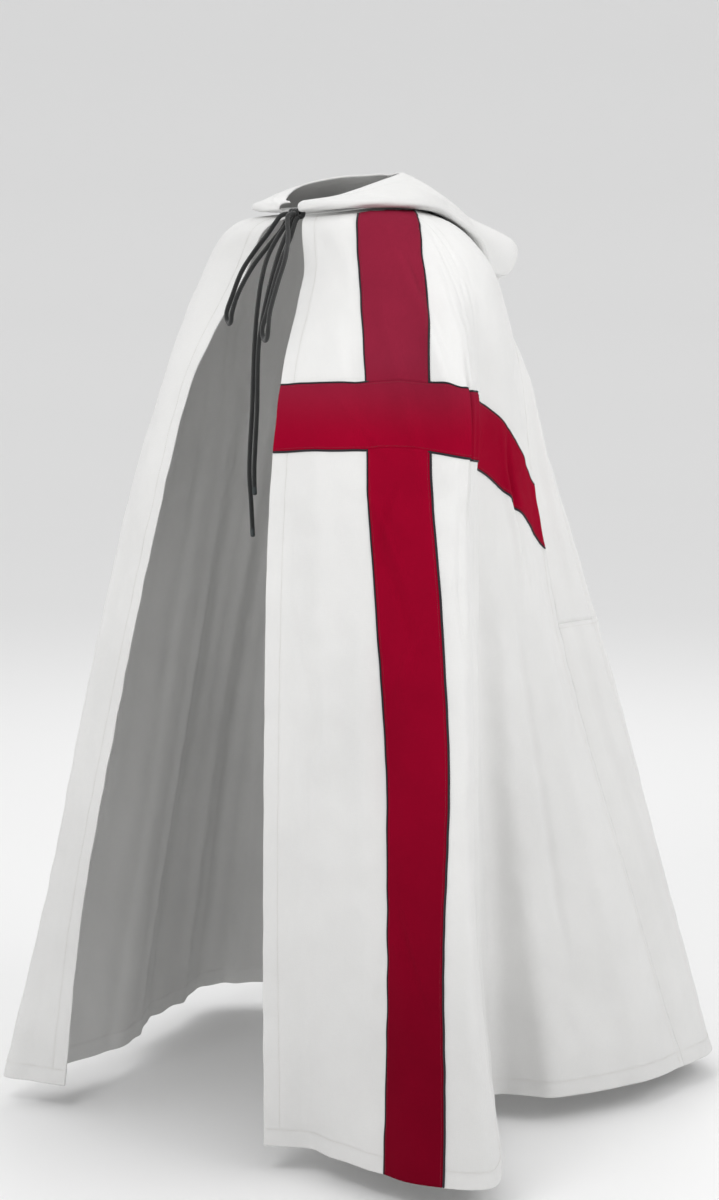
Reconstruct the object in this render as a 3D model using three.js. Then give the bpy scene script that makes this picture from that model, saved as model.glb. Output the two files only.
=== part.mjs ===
// A hooded cape in heavy cotton, cut as two fronts and a pieced back, with a straight cross sewn on its
// left front, a hood that lies down behind the neck, and a braided cord tied at the throat.
// It keeps the hollow form it has when worn. Millimetres, +Z up. The front looks along -Y and the wearer's
// left is +X. The origin is the middle of the neck opening, where the wearer carries it.
import * as THREE from "three";

// ---- Driving dimensions ----
const CLOTH = 2; // wall of the cotton
const SEAM_GAP = 0.3; // between two cut pieces
const APPLIQUE = 1.2; // thickness of the cross and its edging
const BAND = 95; // width of the cross's bands
const EDGING = 3.5; // width of the dark edging round the cross
const PANEL_EDGE_GAP = 0.6; // the applique stops this short of a panel's own edge
const NECK_SIDE = 80; // neck opening from the middle to the side
const NECK_FRONT = 88; // and to the front and back
const THROAT_ANGLE = 10; // each front starts this many degrees from the centre front
const CORD = 7; // diameter of the braided cord

// ---- The cape's form ----
// Each level is a distance down the cloth from the neckline and a height.
const LEVELS = [
  { name: "shoulder", down: 150, z: -100 },
  { name: "chest", down: 315, z: -250 },
  { name: "waist", down: 520, z: -450 },
  { name: "hip", down: 825, z: -750 },
  { name: "knee", down: 1135, z: -1050 },
  { name: "hem", down: 1410, z: -1320 },
];
const LENGTH = LEVELS[LEVELS.length - 1].down;
const COLLARBONE_DOWN = 75;

// Lines down the cloth, from the right front edge round the back to the left front edge. At each level a
// line has its angle, in degrees from the centre front over the wearer's right side, and its reach from
// the axis.
const LINES = [
  {
    name: "right_edge", shoulder: [32, 150], chest: [28, 230], waist: [24, 288], hip: [23, 357],
    knee: [22, 416], hem: [21, 449],
  },
  {
    name: "right_front", shoulder: [52, 214], chest: [44, 268], waist: [37, 315], hip: [32, 380],
    knee: [28, 440], hem: [26, 492],
  },
  {
    name: "right_turn", shoulder: [68, 246], chest: [58, 288], waist: [49, 333], hip: [40, 393],
    knee: [34, 458], hem: [30, 526],
  },
  {
    name: "right_tuck", shoulder: [80, 244], chest: [71, 282], waist: [62, 305], hip: [52, 340],
    knee: [43, 385], hem: [37, 428],
  },
  {
    name: "right_inner", shoulder: [92, 234], chest: [84, 272], waist: [78, 288], hip: [68, 307],
    knee: [58, 334], hem: [50, 360],
  },
  {
    name: "right_side", shoulder: [105, 224], chest: [98, 270], waist: [94, 304], hip: [88, 342],
    knee: [81, 372], hem: [76, 392],
  },
  {
    name: "right_swell", shoulder: [120, 208], chest: [114, 262], waist: [111, 318], hip: [108, 392],
    knee: [106, 450], hem: [104, 492],
  },
  {
    name: "right_dip", shoulder: [133, 196], chest: [128, 246], waist: [126, 292], hip: [124, 356],
    knee: [122, 408], hem: [121, 444],
  },
  {
    name: "right_seam", shoulder: [147, 190], chest: [143, 246], waist: [141, 304], hip: [139, 386],
    knee: [138, 462], hem: [137, 524],
  },
  {
    name: "back_right", shoulder: [162, 182], chest: [160, 232], waist: [158, 288], hip: [157, 366],
    knee: [156, 440], hem: [155, 496],
  },
  {
    name: "back_swell", shoulder: [177, 184], chest: [176, 240], waist: [176, 314], hip: [176, 412],
    knee: [176, 502], hem: [176, 570],
  },
  {
    name: "back_left", shoulder: [192, 196], chest: [192, 250], waist: [194, 308], hip: [195, 388],
    knee: [195, 462], hem: [196, 518],
  },
  {
    name: "back_turn", shoulder: [205, 216], chest: [205, 284], waist: [207, 352], hip: [210, 440],
    knee: [211, 520], hem: [211, 594],
  },
  {
    name: "left_seam", shoulder: [216, 222], chest: [215, 272], waist: [221, 295], hip: [223, 362],
    knee: [224, 456], hem: [225, 536],
  },
  {
    name: "left_back", shoulder: [231, 230], chest: [231, 262], waist: [236, 276], hip: [239, 318],
    knee: [240, 384], hem: [241, 442],
  },
  {
    name: "left_dimple", shoulder: [243, 230], chest: [246, 262], waist: [252, 268], hip: [253, 292],
    knee: [253, 336], hem: [252, 378],
  },
  {
    name: "left_valley", shoulder: [254, 222], chest: [262, 266], waist: [265, 274], hip: [264, 286],
    knee: [263, 296], hem: [263, 304],
  },
  {
    name: "left_under", shoulder: [263, 216], chest: [275, 326], waist: [279, 352], hip: [283, 392],
    knee: [287, 450], hem: [283.5, 470],
  },
  {
    name: "elbow_ridge", shoulder: [272, 214], chest: [284, 372], waist: [288, 428], hip: [290, 494],
    knee: [293, 600], hem: [291, 626],
  },
  {
    name: "left_face", shoulder: [286, 208], chest: [294, 330], waist: [297, 386], hip: [298, 452],
    knee: [300, 540], hem: [300.5, 592],
  },
  {
    name: "left_front", shoulder: [306, 176], chest: [310, 272], waist: [312, 330], hip: [311, 388],
    knee: [310, 442], hem: [310, 486],
  },
  {
    name: "left_middle", shoulder: [321, 148], chest: [322, 244], waist: [321, 304], hip: [319, 360],
    knee: [318, 408], hem: [316, 442],
  },
  {
    name: "left_edge", shoulder: [336, 134], chest: [333, 229], waist: [331, 298], hip: [329, 347],
    knee: [327, 393], hem: [325, 436],
  },
];
const FIRST_ANGLE = LINES[0].shoulder[0];
const LAST_ANGLE = LINES[LINES.length - 1].shoulder[0];
const NECK_SPREAD = (360 - 2 * THROAT_ANGLE) / (LAST_ANGLE - FIRST_ANGLE);

// ---- Small helpers ----
const rad = THREE.MathUtils.degToRad;
const lerp = THREE.MathUtils.lerp;
const plus = (a, b, scale = 1) => a.map((v, k) => v + b[k] * scale);
const minus = (a, b) => a.map((v, k) => v - b[k]);
const size = (a) => Math.hypot(...a);
const unit = (a) => a.map((v) => v / size(a));
const cross = (a, b) => [a[1] * b[2] - a[2] * b[1], a[2] * b[0] - a[0] * b[2], a[0] * b[1] - a[1] * b[0]];
const around = (angle, reach, z) => [-reach * Math.sin(rad(angle)), -reach * Math.cos(rad(angle)), z];

// A smooth curve through values at rising knots: cubic, with each slope from its two neighbours.
function smooth(knots, values, at) {
  const last = knots.length - 1;
  let i = 0;
  while (i < last - 1 && at > knots[i + 1]) i += 1;
  const slope = (k) => {
    const a = Math.max(k - 1, 0);
    const b = Math.min(k + 1, last);
    return values[0].map((_, c) => (values[b][c] - values[a][c]) / (knots[b] - knots[a]));
  };
  const span = knots[i + 1] - knots[i];
  const t = (at - knots[i]) / span;
  const [m0, m1] = [slope(i), slope(i + 1)];
  return values[i].map(
    (v, c) =>
      v * (1 + 2 * t) * (1 - t) ** 2 +
      m0[c] * span * t * (1 - t) ** 2 +
      values[i + 1][c] * t * t * (3 - 2 * t) +
      m1[c] * span * t * t * (t - 1),
  );
}

// ---- The cape's surface ----
function neckPoint(angle) {
  const front = Math.cos(rad(angle));
  return around(angle, lerp(NECK_SIDE, NECK_FRONT, front * front), lerp(10, -13, (1 + front) / 2));
}

// The points of one line at the neckline, the collarbone and each level.
function linePoints(line) {
  const [angle, reach] = line.shoulder;
  const neckAngle = THROAT_ANGLE + (angle - LINES[0].shoulder[0]) * NECK_SPREAD;
  const neck = neckPoint(neckAngle);
  const neckReach = Math.hypot(neck[0], neck[1]);
  const drop = 25 + 14 * Math.cos(rad(angle)) ** 2;
  const collarbone = around(lerp(neckAngle, angle, 0.55), lerp(neckReach, reach, 0.6), -drop);
  return [neck, collarbone, ...LEVELS.map(({ name, z }) => around(...line[name], z))];
}
const DOWNS = [0, COLLARBONE_DOWN, ...LEVELS.map(({ down }) => down)];
const LINE_POINTS = LINES.map(linePoints);

// Each line's share of the way round, from the mean spacing at the waist and the hem.
const SHARES = [0];
for (let i = 1; i < LINES.length; i += 1) {
  const gap = [4, DOWNS.length - 1].map((k) => size(minus(LINE_POINTS[i][k], LINE_POINTS[i - 1][k])));
  SHARES.push(SHARES[i - 1] + (gap[0] + gap[1]) / 2);
}
SHARES.forEach((_, i, all) => {
  if (i) all[i] /= i === LINES.length - 1 ? 1 : all[LINES.length - 1];
});
SHARES[LINES.length - 1] = 1;
const shareOf = (name) => SHARES[LINES.findIndex((line) => line.name === name)];

function capePoint(share, down) {
  const ring = LINE_POINTS.map((points) => smooth(DOWNS, points, down));
  return smooth(SHARES, ring, share);
}

// The outward normal of a surface that runs backwards round the wearer as its first value grows.
function normalOf(surface, u, v, stepU, stepV) {
  const across = minus(surface(u + stepU, v), surface(u - stepU, v));
  const along = minus(surface(u, v + stepV), surface(u, v - stepV));
  return unit(cross(across, along));
}
const { clamp } = THREE.MathUtils;
const capeNormal = (share, down) =>
  normalOf(capePoint, clamp(share, 0.002, 0.998), clamp(down, 3, LENGTH - 3), 0.002, 3);

// ---- Walls ----
// A closed wall from a grid of outer points and a grid of inner points.
function wall(outer, inner) {
  const rows = outer.length;
  const columns = outer[0].length;
  const points = [...outer.flat(), ...inner.flat()];
  const offset = rows * columns;
  const at = (i, j, layer) => layer * offset + i * columns + j;
  const faces = [];
  const quad = (a, b, c, d) => faces.push(a, b, c, a, c, d);
  for (let i = 0; i < rows - 1; i += 1) {
    for (let j = 0; j < columns - 1; j += 1) {
      quad(at(i, j, 0), at(i, j + 1, 0), at(i + 1, j + 1, 0), at(i + 1, j, 0));
      quad(at(i, j, 1), at(i + 1, j, 1), at(i + 1, j + 1, 1), at(i, j + 1, 1));
    }
  }
  for (let i = 0; i < rows - 1; i += 1) {
    quad(at(i, 0, 0), at(i + 1, 0, 0), at(i + 1, 0, 1), at(i, 0, 1));
    const [last, below] = [columns - 1, i + 1];
    quad(at(i, last, 0), at(i, last, 1), at(below, last, 1), at(below, last, 0));
  }
  for (let j = 0; j < columns - 1; j += 1) {
    quad(at(0, j, 0), at(0, j, 1), at(0, j + 1, 1), at(0, j + 1, 0));
    quad(at(rows - 1, j, 0), at(rows - 1, j + 1, 0), at(rows - 1, j + 1, 1), at(rows - 1, j, 1));
  }
  return new THREE.BufferGeometry()
    .setAttribute("position", new THREE.Float32BufferAttribute(points.flat(), 3))
    .setIndex(faces);
}

// A grid of { point, normal } pairs moved along its normals, with chosen borders drawn in from their
// neighbours.
function layer(grid, lift, inset = {}) {
  const moved = grid.map((row) => row.map(({ point, normal }) => plus(point, normal, lift)));
  const draw = (target, neighbour, by) => plus(target, unit(minus(neighbour, target)), by);
  const last = moved.length - 1;
  const end = moved[0].length - 1;
  if (inset.top) moved[0] = moved[0].map((p, j) => draw(p, moved[1][j], inset.top));
  if (inset.bottom) moved[last] = moved[last].map((p, j) => draw(p, moved[last - 1][j], inset.bottom));
  moved.forEach((row) => {
    if (inset.start) row[0] = draw(row[0], row[1], inset.start);
    if (inset.end) row[end] = draw(row[end], row[end - 1], inset.end);
  });
  return moved;
}
const cut = (grid, rows, columns) =>
  grid.slice(rows[0], rows[1] + 1).map((row) => row.slice(columns[0], columns[1] + 1));
const steps = (from, to, count) =>
  Array.from({ length: count + 1 }, (_, k) => lerp(from, to, k / count));

// ---- Materials ----
const cotton = new THREE.MeshStandardMaterial({ color: 0xeceae4, roughness: 0.9, metalness: 0 });
const hoodCotton = new THREE.MeshStandardMaterial({ color: 0xe9e7e0, roughness: 0.9, metalness: 0 });
const red = new THREE.MeshStandardMaterial({ color: 0x9b1030, roughness: 0.85, metalness: 0 });
const edgingCloth = new THREE.MeshStandardMaterial({ color: 0x2f2a2e, roughness: 0.8, metalness: 0 });
const cordBraid = new THREE.MeshStandardMaterial({ color: 0x2c2e2d, roughness: 0.8, metalness: 0 });

const cape = new THREE.Group();
function add(name, geometry, material) {
  const mesh = new THREE.Mesh(geometry, material);
  mesh.name = name;
  cape.add(mesh);
  return mesh;
}
const HALF_GAP = SEAM_GAP / 2;
const cloth = (grid, inset) => wall(layer(grid, 0, inset), layer(grid, -CLOTH, inset));
const nodeOf = (share, down) => ({ point: capePoint(share, down), normal: capeNormal(share, down) });
const gridOf = (downs, shares) => downs.map((down) => shares.map((share) => nodeOf(share, down)));

// ---- Left front, with the cross's edges as lines of its grid ----
// The upright's middle and the bar's middle are given down and across the cloth.
const UPRIGHT = [
  { down: 0, share: 0.8 },
  { down: 30, share: 0.846 },
  { down: 60, share: 0.884 },
  { down: 95, share: 0.899 },
  { down: 150, share: 0.91 },
  { down: 220, share: 0.9115 },
  { down: 420, share: 0.9065 },
  { down: 600, share: 0.9003 },
  { down: 740, share: 0.8984 },
  { down: 880, share: 0.897 },
  { down: 1060, share: 0.898 },
  { down: 1240, share: 0.9 },
  { down: 1410, share: 0.9038 },
];
const BAR = [
  { line: "left_seam", down: 540 },
  { line: "left_back", down: 478 },
  { line: "left_dimple", down: 434 },
  { line: "left_valley", down: 404 },
  { line: "elbow_ridge", down: 376 },
  { line: "left_face", down: 366 },
  { line: "left_front", down: 370 },
  { line: "left_edge", down: 376 },
];
const LEFT_SEAM = shareOf("left_seam");
const uprightShare = (down) =>
  smooth(UPRIGHT.map((row) => row.down), UPRIGHT.map((row) => [row.share]), down)[0];
const barDown = (share) =>
  smooth(BAR.map((row) => shareOf(row.line)), BAR.map((row) => [row.down]), share)[0];

// The share that lies a given width of cloth from another share, at one distance down.
function shareBeside(share, down, width) {
  const step = Math.sign(width) * 0.0005;
  let [at, left, here] = [share, Math.abs(width), capePoint(share, down)];
  while (left > 0) {
    const next = capePoint(at + step, down);
    const moved = size(minus(next, here));
    if (moved >= left) return at + (step * left) / moved;
    [at, left, here] = [at + step, left - moved, next];
  }
  return at;
}

// Columns: seam | edging | upright | edging | front edge. Rows: neckline | edging | bar | edging | hem.
const COLUMN_COUNTS = [22, 1, 3, 1, 8];
const ROW_COUNTS = [9, 1, 3, 1, 14];
const spread = (marks, counts) =>
  counts.flatMap((count, k) => steps(marks[k], marks[k + 1], count).slice(k ? 1 : 0));
const starts = (counts) =>
  counts.reduce((all, count) => [...all, all[all.length - 1] + count], [0]);
const [, C_EDGE_A, C_BAND_A, C_BAND_B, C_EDGE_B, C_END] = starts(COLUMN_COUNTS);
const [, R_EDGE_A, R_BAR_A, R_BAR_B, R_EDGE_B, R_END] = starts(ROW_COUNTS);

const HALF_BAND = BAND / 2;
const OUTER_BAND = HALF_BAND + EDGING;
const BAND_MARKS = [-OUTER_BAND, -HALF_BAND, HALF_BAND, OUTER_BAND];
const rowMarks = (middle) => [0, ...BAND_MARKS.map((mark) => middle + mark), LENGTH];

function leftGrid() {
  const nominal = (down) => {
    const middle = uprightShare(down);
    const [a, b] = [shareBeside(middle, down, -HALF_BAND), shareBeside(middle, down, HALF_BAND)];
    const [outerA, outerB] = [shareBeside(a, down, -EDGING), shareBeside(b, down, EDGING)];
    return spread([LEFT_SEAM, outerA, a, b, outerB, 1], COLUMN_COUNTS);
  };
  const guide = nominal(BAR[4].down);
  const downs = guide.map((share) => spread(rowMarks(barDown(share)), ROW_COUNTS));
  const known = new Map();
  const sharesAt = (down) => {
    if (!known.has(down)) known.set(down, nominal(down));
    return known.get(down);
  };
  return Array.from({ length: R_END + 1 }, (_, i) =>
    guide.map((_, j) => {
      const down = downs[j][i];
      const share = sharesAt(down)[j];
      return { point: capePoint(share, down), normal: capeNormal(share, down) };
    }),
  );
}
const left = leftGrid();
const seamDowns = spread(rowMarks(BAR[0].down), ROW_COUNTS);
add("front_left", cloth(left, { start: HALF_GAP }), cotton);

// ---- Right front and the pieced back, on the rows the left front has at its seam ----
const RIGHT_SEAM = shareOf("right_seam");
const R_BACK_SEAM = R_EDGE_B + 2;
const upperRows = seamDowns.slice(0, R_BACK_SEAM + 1);
const lowerRows = seamDowns.slice(R_BACK_SEAM);
const backShares = steps(RIGHT_SEAM, LEFT_SEAM, 14);
const sides = { start: HALF_GAP, end: HALF_GAP };
add("front_right", cloth(gridOf(seamDowns, steps(0, RIGHT_SEAM, 24)), { end: HALF_GAP }), cotton);
add("back_upper", cloth(gridOf(upperRows, backShares), { ...sides, bottom: HALF_GAP }), cotton);
add("back_lower", cloth(gridOf(lowerRows, backShares), { ...sides, top: HALF_GAP }), cotton);

const onPanel = (rows, columns, inset) => {
  const grid = cut(left, rows, columns);
  return wall(layer(grid, SEAM_GAP + APPLIQUE, inset), layer(grid, SEAM_GAP, inset));
};
const around4 = { top: HALF_GAP, bottom: HALF_GAP, start: HALF_GAP, end: HALF_GAP };
const RIM = PANEL_EDGE_GAP;
add("cross_upright_upper", onPanel([1, R_BAR_A], [C_BAND_A, C_BAND_B], around4), red);
const atHem = { ...around4, bottom: RIM };
add("cross_upright_lower", onPanel([R_BAR_B, R_END], [C_BAND_A, C_BAND_B], atHem), red);
add("cross_bar", onPanel([R_BAR_A, R_BAR_B], [0, C_END], { ...around4, start: RIM, end: RIM }), red);
const edges = [
  ["edging_upper_back", [1, R_BAR_A], [C_EDGE_A, C_BAND_A], {}],
  ["edging_upper_front", [1, R_BAR_A], [C_BAND_B, C_EDGE_B], {}],
  ["edging_bar_top_back", [R_EDGE_A, R_BAR_A], [0, C_EDGE_A], { start: RIM }],
  ["edging_bar_top_front", [R_EDGE_A, R_BAR_A], [C_EDGE_B, C_END], { end: RIM }],
  ["edging_bar_low_back", [R_BAR_B, R_EDGE_B], [0, C_EDGE_A], { start: RIM }],
  ["edging_bar_low_front", [R_BAR_B, R_EDGE_B], [C_EDGE_B, C_END], { end: RIM }],
  ["edging_lower_back", [R_BAR_B, R_END], [C_EDGE_A, C_BAND_A], { bottom: RIM }],
  ["edging_lower_front", [R_BAR_B, R_END], [C_BAND_B, C_EDGE_B], { bottom: RIM }],
];
edges.forEach(([name, rows, columns, ends]) => {
  add(name, onPanel(rows, columns, { ...around4, ...ends }), edgingCloth);
});

// ---- The hood, lying down behind the neck ----
// Sections across one half, from the throat round to the centre back. Each runs from the neckline seam, out
// along the under layer to the fold, and back over the top to the rim of the face opening.
// Each station is [reach from the axis, height].
const HOOD = [
  {
    angle: 12, a: [94, -8], b: [99, -9], low: [103, -9], fold: [107, -7], turn: [107, -3],
    top: [103, 1], ridge: [97, 3], rim: [91, 3],
  },
  {
    angle: 40, a: [97, -5], b: [106, -6], low: [115, -6], fold: [122, -4], turn: [122, 1],
    top: [115, 5], ridge: [102, 8], rim: [87, 9],
  },
  {
    angle: 62, a: [96, -2], b: [108, -3], low: [119, -4], fold: [127, -1], turn: [127, 4],
    top: [119, 9], ridge: [104, 16], rim: [87, 19],
  },
  {
    angle: 90, a: [96, 2], b: [112, -1], low: [127, -4], fold: [139, -1], turn: [139, 5],
    top: [129, 14], ridge: [112, 27], rim: [90, 34],
  },
  {
    angle: 110, a: [98, 4], b: [118, -1], low: [136, -5], fold: [149, -4], turn: [149, 3],
    top: [138, 16], ridge: [115, 32], rim: [89, 42],
  },
  {
    angle: 125, a: [104, 5], b: [128, -4], low: [148, -11], fold: [164, -14], turn: [165, -6],
    top: [150, 12], ridge: [120, 34], rim: [88, 46],
  },
  {
    angle: 138, a: [112, 4], b: [145, -10], low: [176, -29], fold: [200, -47], turn: [201, -38],
    top: [172, -4], ridge: [128, 28], rim: [88, 48],
  },
  {
    angle: 155, a: [112, 2], b: [150, -19], low: [202, -62], fold: [232, -94], turn: [234, -83],
    top: [202, -32], ridge: [140, 20], rim: [89, 49],
  },
  {
    angle: 168, a: [114, -1], b: [158, -31], low: [226, -92], fold: [282, -100], turn: [286, -84],
    top: [226, -24], ridge: [152, 24], rim: [91, 50],
  },
  {
    angle: 180, a: [116, -3], b: [162, -38], low: [286, -114], fold: [352, -76], turn: [350, -46],
    top: [250, -10], ridge: [160, 32], rim: [93, 48],
  },
];
const RIGHT_SPREAD = 0.55; // the right side's roll lies this much flatter and wider
const HOOD_STATIONS = ["a", "b", "low", "fold", "turn", "top", "ridge", "rim"];
const HOOD_ANGLES = HOOD.map((row) => row.angle);
const SEAM_LIFT = [1.3, 2.3]; // the hood's seam stands this far out and up from the neckline

function hoodPoint(angle, station) {
  const half = angle <= 180 ? angle : 360 - angle;
  const neck = neckPoint(half);
  const section = [
    [Math.hypot(neck[0], neck[1]) + SEAM_LIFT[0], neck[2] + SEAM_LIFT[1]],
    ...HOOD_STATIONS.map((name) => smooth(HOOD_ANGLES, HOOD.map((row) => row[name]), half)),
  ];
  const [reach, height] = smooth(section.map((_, k) => k), section, station);
  const spread = angle < 180 ? 1 + RIGHT_SPREAD * Math.sin(rad(angle)) ** 2 : 1;
  return around(angle, section[0][0] + (reach - section[0][0]) * spread, height);
}
const hoodRows = [...steps(0, 3, 6), ...steps(3, 5, 6).slice(1), ...steps(5, 8, 6).slice(1)];
const hoodGrid = (from, to) =>
  hoodRows.map((row) =>
    steps(from, to, 24).map((angle) => {
      const near = THREE.MathUtils.clamp(angle, Math.min(from, to) + 1, Math.max(from, to) - 1);
      const normal = normalOf(hoodPoint, near, THREE.MathUtils.clamp(row, 0.05, 7.95), 1, 0.05);
      const inPlane = angle === 180 ? unit([0, normal[1], normal[2]]) : normal; // square at the centre seam
      return { point: hoodPoint(angle, row), normal: inPlane };
    }),
  );
const FIRST = HOOD[0].angle;
add("hood_right", cloth(hoodGrid(FIRST, 180), { end: HALF_GAP }), hoodCotton);
add("hood_left", cloth(hoodGrid(180, 360 - FIRST), { start: HALF_GAP }), hoodCotton);

// ---- The throat cord ----
const KNOT = { y: -92, z: -13, reach: 9, length: 29.8, sides: 8 };
const CORD_SIDES = 8;

const knot = new THREE.CylinderGeometry(KNOT.reach, KNOT.reach, KNOT.length, KNOT.sides, 1);
knot.rotateY(Math.PI / KNOT.sides);
knot.rotateZ(Math.PI / 2);
knot.translate(0, KNOT.y, KNOT.z);
add("tie_knot", knot, cordBraid);

// A point of the knot's face that looks ahead or ahead and down, a seam gap off it.
const FACE = KNOT.reach * Math.cos(Math.PI / KNOT.sides) + SEAM_GAP;
const ahead = (x, out = 0) => [x, KNOT.y - FACE - out, KNOT.z];
const DIAGONAL = Math.SQRT1_2;
const aheadDown = (x, out = 0) => [x, KNOT.y - (FACE + out) * DIAGONAL, KNOT.z - (FACE + out) * DIAGONAL];

const CORDS = {
  tie_loop_right: [
    ahead(-7.5), ahead(-7.5, 5), [-9, -115, -16.5], [-14, -120.5, -26], [-25, -126, -42],
    [-41, -139, -68], [-48, -158, -98], [-52, -173, -134], [-54.5, -182, -160], [-50.5, -183.5, -171],
    [-41.5, -187, -175], [-32.5, -190.5, -171], [-28.5, -192, -160], [-28, -180, -130],
    [-25, -156, -92], [-20, -131, -62], [-14, -109, -36], aheadDown(-11.2, 5), aheadDown(-11.2),
  ],
  tie_loop_left: [
    ahead(7.5), ahead(7.5, 5), [9, -115, -16.5], [15, -121, -26], [29, -131, -46], [46.5, -150, -78],
    [57, -174, -118], [66, -195, -158], [71.6, -203, -182], [68, -202, -194], [58.6, -198, -198.5],
    [49.2, -194.5, -194], [45.6, -193, -182], [46, -184, -156], [41, -168, -120], [32, -146, -82],
    [19, -117, -45], aheadDown(11.3, 5), aheadDown(11.3),
  ],
  tie_end_right: [
    aheadDown(-3.7), aheadDown(-3.7, 5), [-5, -122, -46], [0, -146, -76], [12, -168, -112],
    [22, -184, -156], [28, -194, -206], [28, -199, -300], [22, -200, -390], [25, -199, -440],
    [27, -198, -487],
  ],
  tie_end_left: [
    aheadDown(3.8), aheadDown(3.8, 5), [10, -120, -45], [20, -144, -78], [30, -164, -112],
    [36, -181, -152], [38, -194, -206], [37, -197, -300], [31, -198, -390], [32, -198, -425],
  ],
};

function cord(name, route) {
  const path = new THREE.CatmullRomCurve3(route.map((p) => new THREE.Vector3(...p)), false, "centripetal");
  const section = new THREE.Shape(
    steps(0, 2 * Math.PI, CORD_SIDES)
      .slice(0, CORD_SIDES)
      .map((turn) => new THREE.Vector2((Math.cos(turn) * CORD) / 2, (Math.sin(turn) * CORD) / 2)),
  );
  const count = Math.round(path.getLength() / (CORD * 2));
  add(name, new THREE.ExtrudeGeometry(section, { steps: count, extrudePath: path }), cordBraid);
}
Object.entries(CORDS).forEach(([name, route]) => cord(name, route));

export default cape;
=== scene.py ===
import math
from functools import partial

import bpy
import numpy as np
from mathutils import Matrix


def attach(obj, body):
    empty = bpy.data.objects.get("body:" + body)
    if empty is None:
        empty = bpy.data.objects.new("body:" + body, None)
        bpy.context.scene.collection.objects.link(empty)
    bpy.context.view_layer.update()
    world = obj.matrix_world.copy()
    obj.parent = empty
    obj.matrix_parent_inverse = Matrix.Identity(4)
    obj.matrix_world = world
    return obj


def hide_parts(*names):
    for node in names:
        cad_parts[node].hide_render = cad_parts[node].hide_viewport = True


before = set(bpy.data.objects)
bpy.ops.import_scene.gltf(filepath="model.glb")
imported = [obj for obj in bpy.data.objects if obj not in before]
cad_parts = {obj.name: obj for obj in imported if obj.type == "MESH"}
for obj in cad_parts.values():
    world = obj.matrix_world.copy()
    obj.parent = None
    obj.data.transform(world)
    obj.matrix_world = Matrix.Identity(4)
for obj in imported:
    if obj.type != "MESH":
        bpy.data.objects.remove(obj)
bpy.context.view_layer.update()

MM = 0.001
RNG = np.random.default_rng(7)

# ---- Sizes ----
CLOTH = 2.0  # the cotton's wall
SEAM_GAP = 0.3  # between two cut pieces
RIM_BULGE = 0.3  # how far a cut edge rounds out, as a part of the wall
APPLIQUE = 1.2  # thickness of the cross and its edging
BAND = 95.0  # width of the cross's bands
EDGING = 2.6  # width of the dark edging
NECK_SIDE, NECK_FRONT = 80.0, 88.0
NECK_BACK_HEIGHT, NECK_FRONT_HEIGHT = 10.0, -13.0
THROAT_ANGLE = 10.0  # the neckline stays open this far to each side of the throat
COLLARBONE_DOWN = 75.0  # down the cloth
COLLARBONE_DROP, COLLARBONE_EXTRA = 25.0, 14.0  # its height below the origin, and more in front and behind
COLLARBONE_PART = (0.55, 0.6)  # how far its angle and reach have gone from the neckline to the shoulder
HEM = 26.0  # folded hem at the bottom and the front edges
CORD = 7.0  # diameter of the braided cord

# ---- The cape's form: down the cloth and height, at the shoulder, chest, waist, hip, knee and hem ----
LEVELS = [(150, -100), (315, -250), (520, -450), (825, -750), (1135, -1050), (1410, -1320)]
LENGTH = float(LEVELS[-1][0])
WAIST_ROW = 4  # the waist among a line's points, which begin with the neckline and the collarbone

# Each line down the cloth: its angle and reach at every level, from the right front edge round the back.
LINES = [
    ("right_edge", (32, 150), (28, 230), (24, 288), (23, 357), (22, 416), (21, 449)),
    ("right_front", (52, 214), (44, 268), (37, 315), (32, 380), (28, 440), (26, 492)),
    ("right_turn", (68, 246), (58, 288), (49, 333), (40, 393), (34, 458), (30, 526)),
    ("right_tuck", (80, 244), (71, 282), (62, 305), (52, 340), (43, 385), (37, 428)),
    ("right_inner", (92, 234), (84, 272), (78, 288), (68, 307), (58, 334), (50, 360)),
    ("right_side", (105, 224), (98, 270), (94, 304), (88, 342), (81, 372), (76, 392)),
    ("right_swell", (120, 208), (114, 262), (111, 318), (108, 392), (106, 450), (104, 492)),
    ("right_dip", (133, 196), (128, 246), (126, 292), (124, 356), (122, 408), (121, 444)),
    ("right_seam", (147, 190), (143, 246), (141, 304), (139, 386), (138, 462), (137, 524)),
    ("back_right", (162, 182), (160, 232), (158, 288), (157, 366), (156, 440), (155, 496)),
    ("back_swell", (177, 184), (176, 240), (176, 314), (176, 412), (176, 502), (176, 570)),
    ("back_left", (192, 196), (192, 250), (194, 308), (195, 388), (195, 462), (196, 518)),
    ("back_turn", (205, 216), (205, 284), (207, 352), (210, 440), (211, 520), (211, 594)),
    ("left_seam", (216, 222), (215, 272), (221, 295), (223, 362), (224, 456), (225, 536)),
    ("left_back", (231, 230), (231, 262), (236, 276), (239, 318), (240, 384), (241, 442)),
    ("left_dimple", (243, 230), (246, 262), (252, 268), (253, 292), (253, 336), (252, 378)),
    ("left_valley", (254, 222), (262, 266), (265, 274), (264, 286), (263, 296), (263, 304)),
    ("left_under", (263, 216), (275, 326), (279, 352), (283, 392), (287, 450), (283.5, 470)),
    ("elbow_ridge", (272, 214), (284, 372), (288, 428), (290, 494), (293, 600), (291, 626)),
    ("left_face", (286, 208), (294, 330), (297, 386), (298, 452), (300, 540), (300.5, 592)),
    ("left_front", (306, 176), (310, 272), (312, 330), (311, 388), (310, 442), (310, 486)),
    ("left_middle", (321, 148), (322, 244), (321, 304), (319, 360), (318, 408), (316, 442)),
    ("left_edge", (336, 134), (333, 229), (331, 298), (329, 347), (327, 393), (325, 436)),
]

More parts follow.
